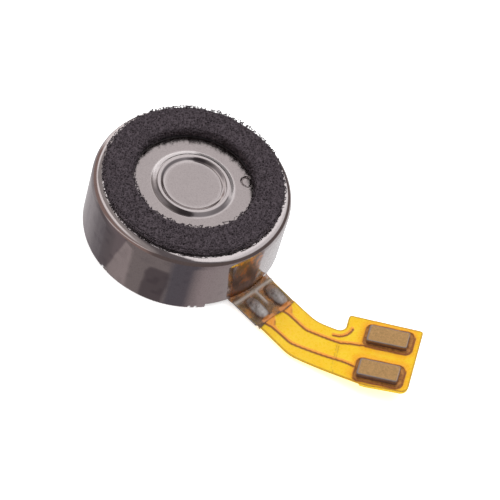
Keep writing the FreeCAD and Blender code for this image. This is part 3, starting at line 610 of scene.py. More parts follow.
def make_world():
    """Bright overhead and behind, darker in front, with a dark ring along the horizon."""
    world = bpy.data.worlds.new("studio")
    bpy.context.scene.world = world
    world.use_nodes = True
    tree = world.node_tree

    def calculate(operation, *inputs):
        made = tree.nodes.new("ShaderNodeMath")
        made.operation = operation
        for socket, item in zip(made.inputs, inputs):
            feed(tree, socket, item)
        return made.outputs[0]

    def times(a, b):
        return calculate("MULTIPLY", a, b)

    def plus(a, b):
        return calculate("ADD", a, b)

    def minus(a, b):
        return calculate("SUBTRACT", a, b)

    def step(low, high, item):
        made = tree.nodes.new("ShaderNodeMapRange")
        made.interpolation_type = "SMOOTHSTEP"
        for socket, number in zip(made.inputs, (item, low, high)):
            feed(tree, socket, number)
        return made.outputs[0]

    def mix(*inputs):
        return mix_colours(tree, *inputs)

    apart = tree.nodes.new("ShaderNodeSeparateXYZ")
    feed(tree, apart.inputs[0], tree.nodes.new("ShaderNodeTexCoord").outputs["Generated"])
    x, y, z = apart.outputs
    leftward, below = times(x, -1.0), times(z, -1.0)

    def strip(facing, near, far, share):
        """Softness of a bright strip along the great circle that faces a direction."""
        parts = [times(axis, part) for axis, part in zip((x, y, z), facing)]
        across = calculate("ABSOLUTE", plus(plus(*parts[:2]), parts[2]))
        return times(minus(1.0, step(near, far, across)), step(*share, leftward))

    front = (0.135, 0.12, 0.125)
    aside = calculate("MINIMUM", calculate("MAXIMUM", minus(0.25, x), 0.0), 0.38)
    backness = minus(plus(y, 0.38), times(aside, 2.1))
    sky = mix(step(-0.08, 0.1, backness), front, (1.0, 0.985, 1.0))
    sky = mix(times(step(0.45, 0.7, x), 0.3), sky, front)
    dim = times(step(0.12, 0.28, leftward), step(0.45, 0.6, z))
    sky = mix(dim, sky, (0.33, 0.305, 0.3))
    sky = mix(strip((0.515, 0.683, 0.518), 0.1, 0.24, (0.35, 0.6)), sky, (0.92, 0.88, 0.88))
    turn = plus(calculate("DIVIDE", calculate("ARCTAN2", y, x), 2 * math.pi), 0.5)
    ring = mix(step(0.25, 0.45, leftward), (0.125, 0.1, 0.096), (0.27, 0.195, 0.178))
    window = minus(step(0.755, 0.775, turn), step(0.85, 0.88, turn))
    ring = mix(window, ring, (0.98, 0.93, 0.92))
    upper = mix(step(0.4, 0.56, plus(z, times(y, 0.27))), ring, sky)
    upper = mix(strip((-0.274, 0.685, 0.676), 0.03, 0.09, (0.2, 0.4)), upper, (0.68, 0.63, 0.62))
    grain = tree.nodes.new("ShaderNodeTexNoise")
    grain.noise_dimensions = "1D"
    feed(tree, grain.inputs["W"], times(turn, 90.0))
    streaks = times(step(0.54, 0.6, turn), step(0.42, 0.62, grain.outputs[0]))
    lower = mix(streaks, colour_ramp(tree, turn, LOW_BANDS), (0.4, 0.385, 0.39))
    whole = mix(step(0.08, 0.22, minus(below, times(y, 0.2))), upper, lower)
    feed(tree, tree.nodes["Background"].inputs["Color"], whole)
    tree.nodes["Background"].inputs["Strength"].default_value = 1.0


def make_lights():
    """A soft light high behind on the left, and an even fill from above."""
    for name, size, energy, place, aim in (
            ("key", 60, 0.14, (-75, 145, 175), (2, -2, 0)),
            ("fill", 300, 0.41, (5, -10, 250), (5, -10, 0))):
        lamp = bpy.data.lights.new(name, "AREA")
        lamp.shape = "DISK"
        lamp.size = size * METRES
        lamp.energy = energy
        light = add_object(name, lamp)
        light.visible_glossy = False
        light.location = Vector(place) * METRES
        away = Vector(aim) - Vector(place)
        light.rotation_euler = away.to_track_quat("-Z", "Y").to_euler()


def make_floor():
    size = 900.0
    floor = make_piece("floor", [(-size, -size, 0), (size, -size, 0), (size, size, 0),
                                 (-size, size, 0)], [[0, 1, 2, 3]])
    s = Shader("pale_floor", Roughness=0.9, Emission_Strength=0.6,
               Emission_Color=(1, 1, 1, 1))
    s.colour(s.grain(0.9, 0.93, 0.05, 2))
    dress(floor, s)
    floor.visible_glossy = False


# ---- the can

EDGE_RADIUS = 0.5
RIM_RISE = 0.18
BEAD = (2.03, 1.44, 0.145)  # outer radius, inner radius and height
DIMPLE = (2.5, 1.2, 0.3)  # place in X and Y, and radius
# openings in the can's lower edge: middle and half angle from the tail's heading, height
EDGE_OPENINGS = [(0, 30.0, 0.3), *((lug, 2.4, 0.15) for lug in LUGS),
                 *((side, 0.8, 0.12) for side in (-39, -35.5, 35.5, 39))]


def can_columns():
    """Angles of the can's columns, with close pairs at each side of an opening."""
    angles = list(np.arange(0, 360, 0.9))
    for middle, half, _ in EDGE_OPENINGS:
        for side in (middle - half, middle + half):
            angles += [side - 0.2, side - 0.03, side + 0.03, side + 0.2]
    return np.unique(np.round(np.mod(angles, 360), 3))


def can_low_edge(angles):
    """Height of the can's lower edge at each angle from the tail's heading."""
    low = np.zeros(len(angles))
    for middle, half, height in EDGE_OPENINGS:
        away = np.abs((angles - middle + 180) % 360 - 180)
        low = np.maximum(low, height * smooth(half + 0.06, half - 0.06, away))
    return low


def bead_height(radius):
    """Height of the bead over the top plate: straight slopes with rounded feet and crest."""
    outer, inner, height = BEAD
    share = np.minimum((outer + 0.05 - radius) / 0.29, (radius - inner + 0.01) / 0.25)
    share = np.clip(share, 0, 1)
    return height * (share + 0.38 * share * (1 - share) * (2 * share - 1))


def rim_rise(radius):
    """How far the top plate stands up under the foam ring."""
    return RIM_RISE * smooth(3.12, 4.15, radius)


def can():
    """Cover cup: wall, rolled shoulder, top with bead and dimple, and the same inside."""
    columns = can_columns()
    low = can_low_edge(columns)
    angles = np.radians(columns) + TAIL_HEADING
    inner = CAN_RADIUS - CAN_WALL
    shoulder = CAN_TOP + RIM_RISE - EDGE_RADIUS
    bevel = 0.02
    rows = []

    def row(radius, height):
        rows.append((radius + 0 * low, height + 0 * low))

    def wall_row(radius, share):
        row(radius, low + (shoulder - low) * share)

    def top_row(radius, depth):
        row(radius, CAN_TOP - depth + bead_height(radius) + rim_rise(radius))

    def shoulder_row(radius, bend, turn):
        row(radius - bend * (1 - math.cos(turn)), shoulder + bend * math.sin(turn))

    for share in (0.006, 0.03, *np.linspace(0.06, 1.0, 26)):
        wall_row(CAN_RADIUS, share)
    for turn in np.radians(np.arange(5, 91, 5)):
        shoulder_row(CAN_RADIUS, EDGE_RADIUS, turn)
    for radius in (*np.arange(4.45, 3.0, -0.1), *np.arange(2.95, 2.16, -0.025),
                   *np.arange(2.14, 1.4, -0.016), *np.arange(1.38, 0.02, -0.12)):
        top_row(radius, 0.0)
    row(0.0, CAN_TOP)
    row(0.0, CAN_TOP - CAN_WALL)
    for radius in (*np.arange(0.4, 1.4, 0.3), *np.arange(1.4, 2.16, 0.05),
                   *np.arange(2.2, CAN_RADIUS - EDGE_RADIUS, 0.2)):
        top_row(radius, CAN_WALL)
    for turn in np.radians(np.arange(90, -1, -18)):
        shoulder_row(inner, EDGE_RADIUS - CAN_WALL, turn)
    for share in (0.5, 0.05, 0.006):
        wall_row(inner, share)
    wall_row(inner + bevel, 0.0)
    wall_row(CAN_RADIUS - bevel, 0.0)
    radius, z = np.array(rows).swapaxes(0, 1)
    x, y = radius * np.cos(angles), radius * np.sin(angles)
    x0, y0, size = DIMPLE
    away = np.hypot(x - x0, y - y0)
    mark = smooth(size + 0.035, size, away) * (z > CAN_TOP - 0.02)
    z = z - mark * (0.035 + 0.03 * smooth(size - 0.07, size - 0.01, away))
    points = np.stack([x, y, z], -1).reshape(-1, 3)
    piece = make_piece("can_shell", points, grid_faces(len(rows), len(columns), True, True), 50)

    # Painted shade: dark reflections painted on the bead's front outer slope and back inner slope.
    def painted_bead_shade(p):
        radius, angle, _ = polar(p)
        front = between(190, 215, 350, 358, angle % 360) * between(1.79, 1.83, 1.99, 2.06, radius)
        back = between(15, 45, 178, 200, angle % 360) * between(1.49, 1.53, 1.61, 1.66, radius)
        return 0.85 * np.maximum(front, back)

    # Painted highlight: a light, less metallic crescent at the bead's outer foot, strongest at the
    # back left.
    def painted_foot_highlight(p):
        radius, angle, _ = polar(p)
        angle = (angle + 30) % 360
        strong, weak = between(115, 135, 200, 220, angle), between(0, 25, 125, 140, angle)
        return np.maximum(strong, 0.35 * weak) * between(1.84, 1.9, 2.06, 2.18, radius)

    # Painted reflection of the tape, on the wall above the tail.
    def painted_tape_reflection(p):
        radius, angle, height = polar(p)
        edge = np.abs(angle + 40.5) + 1.0 * value_noise(p, 0.3, 14)
        wall = radius > CAN_RADIUS - 0.12
        return 0.8 * wall * smooth(10.5, 8.0, edge) * smooth(3.32, 3.2, height)

    def satin(p):
        radius = polar(p)[0]
        bead = smooth(0.4, 0.31, np.abs(radius - 1.74))
        return smooth(4.5, 4.42, radius) * (1 - 0.55 * bead)

    # Tarnished blob and random mottle on the wall, plus a painted shade: the slanting dark band by
    # the lug notch stands in for a dark reflection.
    def tarnish_and_painted_shade(p):
        radius, angle, height = polar(p)
        slant = -127 + 3.3 * height + 1.2 * value_noise(p, 0.9, 2)
        shade = between(-152, -136, slant - 0.8, slant + 0.8, angle)
        wide = np.abs(angle + 95.4 - 0.6 * height) - 4.4
        tall = (np.abs(height - 1.27) - 1.1) * 11
        blob = np.hypot(np.maximum(wide, 0), np.maximum(tall, 0))
        blob += np.minimum(np.maximum(wide, tall), 0)
        mark = smooth(3.4, 1.0, blob + 1.1 * value_noise(p, 0.5, 8))
        mottle = 0.16 * smooth(0.1, 0.7, value_noise(p, 0.35, 12))
        wall = radius > CAN_RADIUS - 0.05
        return wall * np.clip(np.maximum(0.78 * shade, 0.85 * mark) + mottle, 0, 1)

    for tone in (painted_bead_shade, painted_foot_highlight, painted_tape_reflection, satin, tarnish_and_painted_shade):
        paint(piece, tone.__name__, tone)
    dress(piece, nickel())
    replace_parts(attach(piece, "motor"), "can")


# ---- foam ring

FOAM_CELL = 0.115


def foam_ring():
    """Dense ring whose surface is broken into cells, with loose struts on its edges."""
    step = 0.03
    low, high = FOAM_LOW[2] + 0.005, FOAM_HIGH[2] - 0.015
    inner, outer = FOAM_INNER + 0.05, FOAM_OUTER - 0.06
    outline = with_steps(rounded_outline([
        (inner, low, 0.02), (FOAM_OUTER, low, 0.02), (outer, high, 0.05),
        (inner + 0.02, high, 0.1)], 0.03), step)
    outline[:, 1] += rim_rise(outline[:, 0]) * (high - outline[:, 1]) / (high - low)
    underside = np.abs(outline[:, 1] - low - rim_rise(outline[:, 0])) < 0.01
    outline = outline[~underside | (np.arange(len(outline)) % 4 == 0)]
    angles = full_turn(int(2 * math.pi * 3.8 / step))
    along = np.roll(outline, -1, 0) - np.roll(outline, 1, 0)
    along /= np.linalg.norm(along, axis=1, keepdims=True)
    points = spun(outline, angles)
    normal = spun(along[:, ::-1] * (1, -1), angles)
    first, second, owner = cell_noise(points, FOAM_CELL, 3)
    wall = 1 - smooth(0.05, 0.42, second - first)
    depth = 0.04 + 0.07 * owner
    swell = 0.02 * value_noise(points, 0.5, 5) + 0.012 * value_noise(points, 0.12, 9)
    resting = points[:, 2] < low + 0.02 + rim_rise(polar(points)[0])
    offset = np.where(resting, 0, swell - depth * (1 - wall))
    points = points + normal * offset[:, None]
    points[:, 2] = np.maximum(points[:, 2], FOAM_LOW[2])
    points[:, 1] += FOAM_SHIFT
    faces = grid_faces(len(outline), len(angles), True, True)
    piece = make_piece("foam_ring_cells", points, faces, 180)
    # painted shade in the pits: struts light, pits dark, with a random tone per cell
    paint(piece, "strut_lit_pit_shaded", wall * (0.6 + 0.4 * owner))

    # Painted light on the ring's inner and outer walls below the top.
    def side(p):
        radius = np.hypot(p[:, 0], p[:, 1] - FOAM_SHIFT)
        edge = np.minimum(radius - inner, outer - radius)
        return smooth(0.22, 0.12, edge) * smooth(high - 0.05, high - 0.15, p[:, 2])

    paint(piece, "side", side)
    shader = foam()
    dress(piece, shader)
    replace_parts(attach(piece, "motor"), "foam_ring")
    struts = foam_struts(inner, outer, high)
    dress(struts, shader)
    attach(struts, "motor")


def foam_struts(inner, outer, top):
    """Cut cell walls that stick out along the ring's edges, as short tapered struts."""
    cell = 0.12
    reach = int(FOAM_OUTER / cell) + 2
    grid = np.mgrid[-reach:reach, -reach:reach, 0:8].reshape(3, -1).T.astype(float)
    grid[:, 2] += round(FOAM_LOW[2] / cell)
    knots = np.stack([grid[:, a] + hashed(grid, 20 + a) for a in range(3)], 1) * cell
    radius, _, z = polar(knots)
    out = (radius > outer - 0.1) & (radius < FOAM_OUTER + 0.03 + 0.09 * (z > top - 0.25))
    into = (radius < inner + 0.1) & (radius > FOAM_INNER - 0.06)
    over = (radius > inner) & (radius < outer) & (z > top - 0.07)
    near = (out | into | over) & (z > FOAM_LOW[2] + 0.06) & (z < FOAM_HIGH[2] + 0.015)
    keep = near & (hashed(grid, 31) < np.where(over, 0.55, 0.95))
    knots = knots[keep]
    number = {tuple(c): i for i, c in enumerate(grid[keep].astype(int).tolist())}
    steps = ((1, 0, 0), (0, 1, 0), (0, 0, 1), (1, 1, 0), (1, 0, 1), (0, 1, 1))
    pairs = [(i, number.get(tuple(np.add(place, step))))
             for place, i in number.items() for step in steps]
    pairs = np.array([pair for pair in pairs if pair[1] is not None])
    start, end = knots[pairs[:, 0]], knots[pairs[:, 1]]
    chosen = hashed(pairs, 41) < 0.7
    chosen &= np.linalg.norm(end - start, axis=1) < cell * 1.7
    pairs, start, end = pairs[chosen], start[chosen], end[chosen]
    side = np.cross(end - start, np.array([0.31, 0.57, 0.76]))
    side /= np.linalg.norm(side, axis=1, keepdims=True)
    other = np.cross(end - start, side)
    other /= np.linalg.norm(other, axis=1, keepdims=True)
    thick = 0.012 + 0.008 * hashed(pairs, 47)[:, None]
    rings = [start + (end - start) * share + (side * a + other * b) * thick * width
             for share, width in ((0.0, 1.5), (0.5, 0.8), (1.0, 1.5))
             for a, b in ((1, 0), (0, 1), (-1, 0), (0, -1))]
    points = np.stack(rings, 1).reshape(-1, 3)
    points[:, 1] += FOAM_SHIFT
    one = [*grid_faces(3, 4, False, True), [3, 2, 1, 0], [8, 9, 10, 11]]
    faces = [[n * 12 + i for i in face] for n in range(len(pairs)) for face in one]
    piece = make_piece("foam_ring_struts", points, faces, 180)
    paint(piece, "strut_lit_pit_shaded", lambda p: 0.8 + 0 * p[:, 0])
    return piece


# ---- base, adhesive and other turned pieces

def bracket():
    """Base plate with its tongue and lugs, and the shaft's boss as a turned piece."""
    boss_top = box_mm("bracket")[1][2]
    radius, thick = 4.83, BASE_TOP
    tongue_end, tongue_half = 6.9, 1.2
    corner = 0.25
    start = math.asin(tongue_half / radius)
    arc = np.linspace(start, 2 * math.pi - start, 260)
    outline = np.stack([radius * np.cos(arc), radius * np.sin(arc)], 1)
    for lug in LUGS:
        away = (np.degrees(arc) - lug + 180) % 360 - 180
        outline[np.abs(away) < 2.1] *= 4.98 / radius
    end = [(tongue_end - corner, -tongue_half), (tongue_end, -tongue_half + corner),
           (tongue_end, tongue_half - corner), (tongue_end - corner, tongue_half)]
    outline = turned(*np.vstack([outline, end]).T)
    piece = plate("base_plate", outline, lambda p: thick + 0 * p[:, 0],
                  lambda p: 0 * p[:, 0], step=0.25)
    bevel = piece.modifiers.new("edge", "BEVEL")
    bevel.width = 0.02 * METRES
    bevel.segments = 2
    bevel.limit_method = "ANGLE"
    boss = lathe("shaft_boss", [(0.405, thick), (0.75, thick), (0.75, boss_top - 0.04),
                                (0.71, boss_top), (0.405, boss_top)], full_turn(90))
    shader = base_steel()
    for part in (piece, boss):
        dress(part, shader)
        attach(part, "motor")
    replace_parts(piece, "bracket")


def foam_adhesive():
    low, high = box_mm("foam_adhesive")
    radius = np.linspace(FOAM_INNER + 0.02, high[0] - 0.03, 16)
    under, over = [np.column_stack([radius, z + rim_rise(radius)]) for z in (low[2], high[2])]
    piece = lathe("foam_adhesive_film", np.vstack([under, over[::-1]]), full_turn(360))
    dress(piece, plain("adhesive", (0.02, 0.018, 0.02), (0.035, 0.03, 0.034), rough=0.4))
    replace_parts(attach(piece, "motor"), "foam_adhesive")


# ---- flexible tail

BEND_START, BEND_END, RISE = 6.5, 9.0, math.radians(11.0)
BEND_RADIUS = (BEND_END - BEND_START) / math.sin(RISE)
INNER_TAPER = [(5.35, 0.31), (6.95, 0.31), (7.3, 0.4), (7.6, 0.41), (7.6, 0.57),
               (7.35, 0.62), (7.15, 0.82), (7.0, 0.93), (5.35, 0.93)]
OUTER_TAPER = [(5.35, -0.95), (6.95, -0.95), (7.3, -0.82), (7.6, -0.8), (7.6, -0.64),
               (7.35, -0.58), (7.15, -0.36), (7.0, -0.25), (5.35, -0.25)]
INNER_ROUTE = [(6.34, -3.53), (7.3, -4.15), (7.46, -4.21), (8.95, -4.5), (9.15, -4.53),
               (9.6, -4.47), (9.85, -4.47), (10.8, -4.36)]
OUTER_ROUTE = [(5.98, -4.73), (6.72, -5.17), (6.92, -5.24), (9.5, -5.62), (9.75, -5.68),
               (10.4, -5.9)]
PAD_CENTRES = {"inner": (11.37, -3.84), "outer": (11.28, -5.95)}
PAD_SIZE = (2.0, 1.0)
PAD_CORNER, PAD_HEIGHT = 0.12, 0.26
PAD_FOOT = 0.08  # height of a pad's foot over the tail's underside
PAD_TURN = math.radians(-2.4)
TRACK_HALF = 0.08
LAND_MARGIN, OPENING_MARGIN = 0.24, 0.16  # copper land and cover opening round a pad
FILM_THICK = 0.05
STIFFENER_START = 9.12
TAIL_START, COVER_START = 5.08, 6.85  # where the films begin, along the tail's first heading
TEAR_ARC = [(8.88 + 0.66 * math.cos(a), -3.49 + 0.66 * math.sin(a))
            for a in np.radians(np.linspace(-103, -7, 12))]


def tail_height(x, over):
    """Height of the tail at X for a surface that lies over its underside by that much."""
    x = np.asarray(x, float)
    reach = BEND_RADIUS - over
    arc_end = BEND_START + reach * math.sin(RISE)
    inside_arc = np.clip(x - BEND_START, 0, reach * math.sin(RISE))
    z = FILM_BOTTOM + BEND_RADIUS - np.sqrt(reach ** 2 - inside_arc ** 2)
    return z + np.maximum(x - arc_end, 0) * math.tan(RISE)


def crossing(point_a, angle_a, point_b, angle_b):
    """Where two lines in the plane meet, each given by a point and a heading."""
    a, b = turned(1, 0, angle_a), turned(1, 0, angle_b)
    gap = np.subtract(point_b, point_a)
    reach = (gap[0] * b[1] - gap[1] * b[0]) / (a[0] * b[1] - a[1] * b[0])
    return np.asarray(point_a) + reach * a


def tail_outline(start):
    """Plan outline of the tail from a distance along the tongue to the tab's end."""
    second = math.radians(-12.6)
    half = 1.25
    outer_start, inner_start = turned(start, -half), turned(start, half)
    outer_leg = (8.54, -6.33)
    inner_leg = turned(0, 2.54, second, outer_leg)
    front, ear = -6.82, 9.26
    return rounded_outline([
        (*outer_start, 0),
        (*crossing(outer_start, TAIL_HEADING, outer_leg, second), 2.0),
        (*crossing(outer_leg, second, (0, front), 0), 2.0),
        (12.8, front, 0.35), (12.94, -2.99, 0.15), (ear, -2.77, 0.15),
        (*crossing(inner_leg, second, (ear, 0), math.pi / 2), 0.35),
        (*crossing(inner_start, TAIL_HEADING, inner_leg, second), 2.0),
        (*inner_start, 0),
    ])


def pad_outline(which, margin):
    """Plan outline round a contact pad at a margin outside it."""
    length, width = PAD_SIZE[0] / 2 + margin, PAD_SIZE[1] / 2 + margin
    return rounded_outline([
        (*turned(a * length, b * width, PAD_TURN, PAD_CENTRES[which]), PAD_CORNER + margin)
        for a, b in ((-1, -1), (1, -1), (1, 1), (-1, 1))])


def pad_distance(plan, margin):
    """Signed distance in the plane to the nearest contact pad's outline at a margin."""
    return np.min([outline_distance(plan, pad_outline(which, margin)) for which in PAD_CENTRES], 0)


def copper_distance(plan):
    """Distance in the plane to the nearest copper under the cover film."""
    tracks = [route_distance(plan, route) - TRACK_HALF
              for route in (INNER_ROUTE, OUTER_ROUTE, TEAR_ARC)]
    tapers = [outline_distance(plan, turned(*np.transpose(taper)))
              for taper in (INNER_TAPER, OUTER_TAPER)]
    return np.min([*tracks, *tapers, pad_distance(plan, LAND_MARGIN)], 0)


def tail():
    """Base film and cover film bending across the tail's joint, and copper copied from the CAD."""
    base = plate("tail_base_film", tail_outline(TAIL_START),
                 lambda p: tail_height(p[:, 0], FILM_THICK),
                 lambda p: tail_height(p[:, 0], 0.0), step=0.1)
    dress(base, film("polyimide_base", 1.0))
    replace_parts(base, "tail_film")
    outline = tail_outline(COVER_START)

    def cover_top(plan):
        ridge = 1 - smooth(-0.015, 0.05, copper_distance(plan))
        return tail_height(plan[:, 0], 0.0) + 0.083 + 0.028 * ridge

    cover = plate("tail_cover_film", outline, cover_top,
                  lambda p: tail_height(p[:, 0], FILM_THICK + 0.002), step=0.045,
                  holes=[pad_outline(which, OPENING_MARGIN) for which in PAD_CENTRES])

    def warm_tone(points):
        near = pad_distance(points[:, :2], LAND_MARGIN)
        return 0.6 * smooth(0.42, 0.05, near + 0.1 * value_noise(points, 0.25, 17))

    def copper_tone(points):
        return 1 - smooth(-0.01, 0.035, copper_distance(points[:, :2]))

    def edge_and_shade_tone(points):
        """Shaded side of the tracks, openings' lips, the film's rim and two dotted lines."""
        plan = points[:, :2]
        toward_light = np.array([-0.35, 0.94])
        here, lit = copper_distance(plan), copper_distance(plan + toward_light * 0.05)
        shaded = between(-0.085, -0.055, 0.02, 0.05, here) * smooth(0.0, 0.02, here - lit)
        lip = 0.8 * smooth(0.06, 0.03, pad_distance(plan, OPENING_MARGIN))
        rim = 0.6 * smooth(-0.09, -0.03, outline_distance(plan, outline))
        beside = np.abs(np.abs(plan[:, 0] - STIFFENER_START + 0.05) - 0.05)
        dots = smooth(-0.2, 0.3, value_noise(points, 0.12, 7)) * smooth(-4.55, -4.65, plan[:, 1])
        return np.max([shaded, lip, rim, 0.5 * np.exp(-(beside / 0.03) ** 2) * dots], 0)

    paint(cover, "warm", warm_tone)
    paint(cover, "copper", copper_tone)
    # painted shade on the tracks' lower side, with the openings' lips, the film's rim and the dots
    paint(cover, "edge", edge_and_shade_tone)
    dress(cover, film("polyimide_cover", 0.72))
    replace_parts(cover, "tail_coverlay")
    pieces = [base, cover]
    metal = copper("copper_track")
    for which in ("inner", "outer"):
        track = cad_copy("copper_" + which, "trace_" + which, np.arange(6.45, 9.2, 0.12))
        land = pad_outline(which, 0.3)
        # copper land round the pad, painted darker brown: partly flux-darkened copper, partly
        # painted shade in the moat
        paint(track, "land", lambda p: inside(p[:, :2], land))
        dress(track, metal)
        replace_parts(track, "trace_" + which)
        pieces.append(track)
    for piece in pieces:
        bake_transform(piece)


def contact_pads():
    """Raised contact blocks with rounded edges and a faintly uneven face."""
    shader = pad_metal()
    edge = 0.05
    for which, (x0, y0) in PAD_CENTRES.items():
        rows = [np.insert(pad_loop(which, 0.0), 2, 0.0, 1)]
        for turn in np.radians(np.arange(0, 91, 15)):
            loop = pad_loop(which, -edge * (1 - math.cos(turn)))
            rows.append(np.insert(loop, 2, PAD_HEIGHT - edge + edge * math.sin(turn), 1))
        rim, middle = rows[-1], (x0, y0, 0)
        for share in (0.93, 0.85, 0.7, 0.5, 0.25, 0.02):
            rows.append((rim - middle) * (share, share, 1) + middle)
        points = np.vstack(rows)
        uneven = 0.006 * value_noise(points, 0.35, 3) + 0.003 * value_noise(points, 0.1, 5)
        x, y, over = points.T
        over = over + uneven * (over > PAD_HEIGHT - 0.01) + PAD_FOOT
        foot = tail_height(BEND_END, 0.0) + (x - BEND_END) * math.tan(RISE)
        placed = np.stack([x - over * math.sin(RISE), y, foot + over * math.cos(RISE)], 1)
        count = len(rim)
        faces = grid_faces(len(rows), count, False, True)
        faces.append(list(range(count))[::-1])
        faces.append([(len(rows) - 1) * count + i for i in range(count)])
        piece = make_piece("contact_block_" + which, placed, faces, 60)
        outline = pad_outline(which, 0.0)

        def level(p):
            return (p[:, 2] - tail_height(p[:, 0], 0.0)) * math.cos(RISE) - PAD_FOOT

        def rim_tone(p):
            plan = p[:, :2] + (level(p) * math.sin(RISE))[:, None] * (1, 0)
            top = smooth(PAD_HEIGHT - 0.07, PAD_HEIGHT - 0.03, level(p))
            return smooth(-0.075, -0.035, outline_distance(plan, outline)) * top

        paint(piece, "rim", rim_tone)
        paint(piece, "side", lambda p: smooth(PAD_HEIGHT - 0.03, PAD_HEIGHT - 0.09, level(p)))
        dress(piece, shader)
        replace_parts(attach(piece, "contact_tab"), "contact_pad_" + which)


def pad_loop(which, margin):
    """A pad's outline shrunk or grown, always with the same number of points."""
    length, width = PAD_SIZE[0] / 2 + margin, PAD_SIZE[1] / 2 + margin
    radius = PAD_CORNER + margin
    corner_points, side_points = 7, 12
    loop = []
    for corner, (a, b) in enumerate(((1, 1), (-1, 1), (-1, -1), (1, -1))):
        for turn in np.radians(np.linspace(0, 90, corner_points)) + corner * math.pi / 2:
            loop.append([a * (length - radius) + radius * math.cos(turn),
                         b * (width - radius) + radius * math.sin(turn)])
    out = []
    for i, (a, b) in enumerate(zip(np.array(loop), np.roll(loop, -1, 0))):
        pieces = side_points if i % corner_points == corner_points - 1 else 1
        out.append(a + (b - a) * (np.arange(pieces) / pieces)[:, None])
    return turned(*np.vstack(out).T, PAD_TURN, PAD_CENTRES[which])


def tab_extras():
    """Stiffener under the tab and the tear stop's copper arc."""
    outline = tail_outline(TAIL_START)
    kept = outline[outline[:, 0] > STIFFENER_START]
    kept = np.roll(kept, -np.argmin(kept[:, 1] + kept[:, 0] * 3), 0)
    stiff = plate("tab_stiffener", kept, lambda p: tail_height(p[:, 0], -0.002),
                  lambda p: tail_height(p[:, 0], -0.1), step=0.12)
    dress(stiff, film("polyimide_stiffener", 1.0))
    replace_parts(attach(stiff, "contact_tab"), "stiffener")
    arc = cad_copy("tear_stop_arc", "tear_stop")
    dress(arc, copper("copper_stop"))
    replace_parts(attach(arc, "contact_tab"), "tear_stop")


# ---- solder and tape

SOLDER_AT, SOLDER_SIDE = 6.1, 0.62
SOLDER_LENGTH, SOLDER_WIDTH, SOLDER_HEIGHT = 0.66, 0.34, 0.27
TAPE_START, TAPE_END, TAPE_THICK = 5.03, 6.98, 0.03


def solder_rise(along, across):
    """Height of both solder joints over their copper, at a place along and across."""
    u = np.abs((along - SOLDER_AT) / SOLDER_LENGTH) ** 3.2
    v = [np.abs((across - side * SOLDER_SIDE) / SOLDER_WIDTH) ** 2.4 for side in (-1, 1)]
    return SOLDER_HEIGHT * np.sqrt(np.clip(1 - u - np.minimum(*v), 0, 1))


def solder_joints():
    shader = solder()
    rows, columns = 26, 64
    share = np.linspace(0, 1, rows)[:, None]
    turn = full_turn(columns)
    for label, side in (("inner", 1), ("outer", -1)):
        along = SOLDER_AT + (SOLDER_LENGTH - 0.015) * share * np.cos(turn)
        across = side * SOLDER_SIDE + (SOLDER_WIDTH - 0.015) * share * np.sin(turn)
        dome = COPPER_TOP + solder_rise(along, across)
        top = np.concatenate([turned(along, across), dome[..., None]], -1).reshape(-1, 3)
        top[:, 2] += 0.012 * value_noise(top, 0.22, 4) * (top[:, 2] > COPPER_TOP + 0.02)
        faces = grid_faces(rows, columns, False, True)
        faces.append([(rows - 1) * columns + i for i in range(columns)])
        piece = make_piece("solder_bead_" + label, top, faces, 60)
        dress(piece, shader)
        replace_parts(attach(piece, "motor"), "solder_joint_" + label)


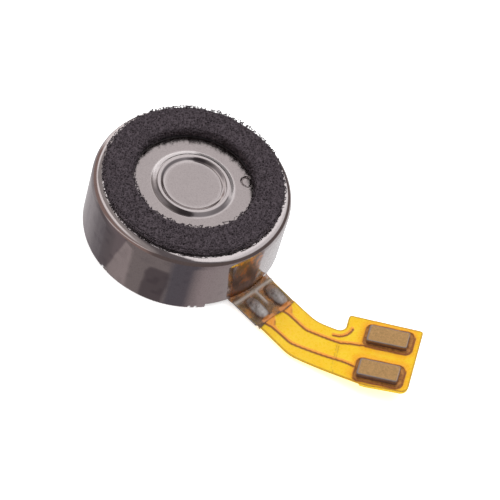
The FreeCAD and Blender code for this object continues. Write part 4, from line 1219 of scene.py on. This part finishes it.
def insulating_tape():
    """Tape draped over the solder, creased across near the can and along the middle."""
    rows, columns = 110, 130
    share_along = np.linspace(0, 1, rows)[:, None]
    share_across = np.linspace(0, 1, columns)[None]
    root = smooth(5.75, 5.05, TAPE_START + 1.97 * share_along)
    left = -1.34 - 0.12 * root - 0.08 * smooth(0.92, 1.0, share_along)
    right = 1.17 + 0.05 * root
    across = left + (right - left) * share_across
    slant = 0.05 * np.sin(across * 3.1) - 0.03 * across
    start = np.sqrt(TAPE_START ** 2 - across ** 2)
    along = start + (TAPE_END + slant - start) * share_along
    beads = solder_rise(5.98 + (along - 5.98) * 0.9, across * 0.93)
    tent = np.maximum(beads + COPPER_TOP + 0.018, COVER_TOP + 0.012)
    crease_across = np.exp(-((along - 5.27) / 0.11) ** 2)
    stem = np.exp(-(across / 0.09) ** 2) * between(5.2, 5.3, 6.0, 6.35, along)
    fold = np.exp(-((along - start) / 0.05) ** 2)
    tent = tent + 0.055 * crease_across + 0.05 * stem + 0.05 * fold
    top = np.stack([*np.moveaxis(turned(along, across), -1, 0), tent + TAPE_THICK], -1)
    top = top.reshape(-1, 3)
    top[:, 2] += 0.008 * (value_noise(top, 0.3, 6) + 1)
    bottom = top - (0, 0, TAPE_THICK)
    count = rows * columns
    faces = grid_faces(rows, columns)
    faces += [[i + count for i in face[::-1]] for face in faces]
    ring = [*range(columns), *range(2 * columns - 1, count, columns),
            *range(count - 2, count - columns - 1, -1), *range(count - 2 * columns, 0, -columns)]
    faces += [[a, b, b + count, a + count] for a, b in zip(ring, ring[1:] + ring[:1])]
    piece = make_piece("solder_tape", np.vstack([top, bottom]), faces, 50)
    values = {
        # painted highlight along the creases
        "painted_crease_highlight": np.clip(crease_across + stem, 0, 1),
        # solder showing through, with a painted highlight: the far side of each dome is lighter
        "bump": smooth(0.06, 0.22, beads) * (0.45 + 0.55 * smooth(5.7, 6.15, along)),
        "glow": between(6.72, 6.8, 6.9, 6.97, along) * between(0.12, 0.3, 0.9, 1.05, np.abs(across)),
    }
    for name, field in values.items():
        paint(piece, name, np.tile(field.ravel(), 2))
    dress(piece, tape())
    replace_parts(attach(piece, "motor"), "insulating_tape")


# ---- pieces that keep their CAD shape

def dress_cad_nodes():
    """Procedural materials for the CAD nodes that stay, most of them inside the can."""
    wire = winding()
    dress(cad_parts["coil_a"], wire)
    dress(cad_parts["coil_b"], wire)
    # nodes, material and two tones, then grain per mm, metallic, roughness and grain depth in mm
    for nodes, *look in (
            ("rotor_board", "rotor_board", (0.02, 0.1, 0.035), (0.035, 0.16, 0.06), 4, 0.0, 0.4),
            ("brush_positive brush_negative commutator_segments", "gold_plate",
             (0.75, 0.48, 0.16), (0.88, 0.62, 0.26), 8, 1.0, 0.22, 0.002),
            ("lower_washer upper_washer", "washer_film",
             (0.6, 0.57, 0.48), (0.72, 0.69, 0.6), 5, 0.0, 0.45),
            ("motor_flex", "motor_circuit", (0.6, 0.22, 0.03), (0.78, 0.34, 0.05), 3, 0.0, 0.3),
            ("shaft", "shaft_steel", (0.55, 0.55, 0.56), (0.66, 0.66, 0.67), 7, 1.0, 0.18),
            ("bearing", "bearing_bronze", (0.36, 0.21, 0.09), (0.52, 0.33, 0.15), 10, 0.9, 0.45,
             0.008),
            ("ring_magnet", "magnet_plate", (0.28, 0.28, 0.29), (0.38, 0.38, 0.39), 3, 1.0, 0.35),
            ("counterweight", "tungsten", (0.2, 0.2, 0.21), (0.3, 0.3, 0.31), 6, 0.9, 0.5,
             0.01),
            ("rotor_mould", "mould_resin", (0.012, 0.012, 0.014), (0.03, 0.03, 0.034), 5)):
        shader = plain(*look)
        for node in nodes.split():
            dress(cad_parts[node], shader)


make_camera()
make_world()
make_lights()
make_floor()
bpy.context.scene.view_settings.view_transform = "Standard"
can()
foam_ring()
bracket()
foam_adhesive()
tail()
contact_pads()
tab_extras()
solder_joints()
insulating_tape()
dress_cad_nodes()

bpy.context.view_layer.update()
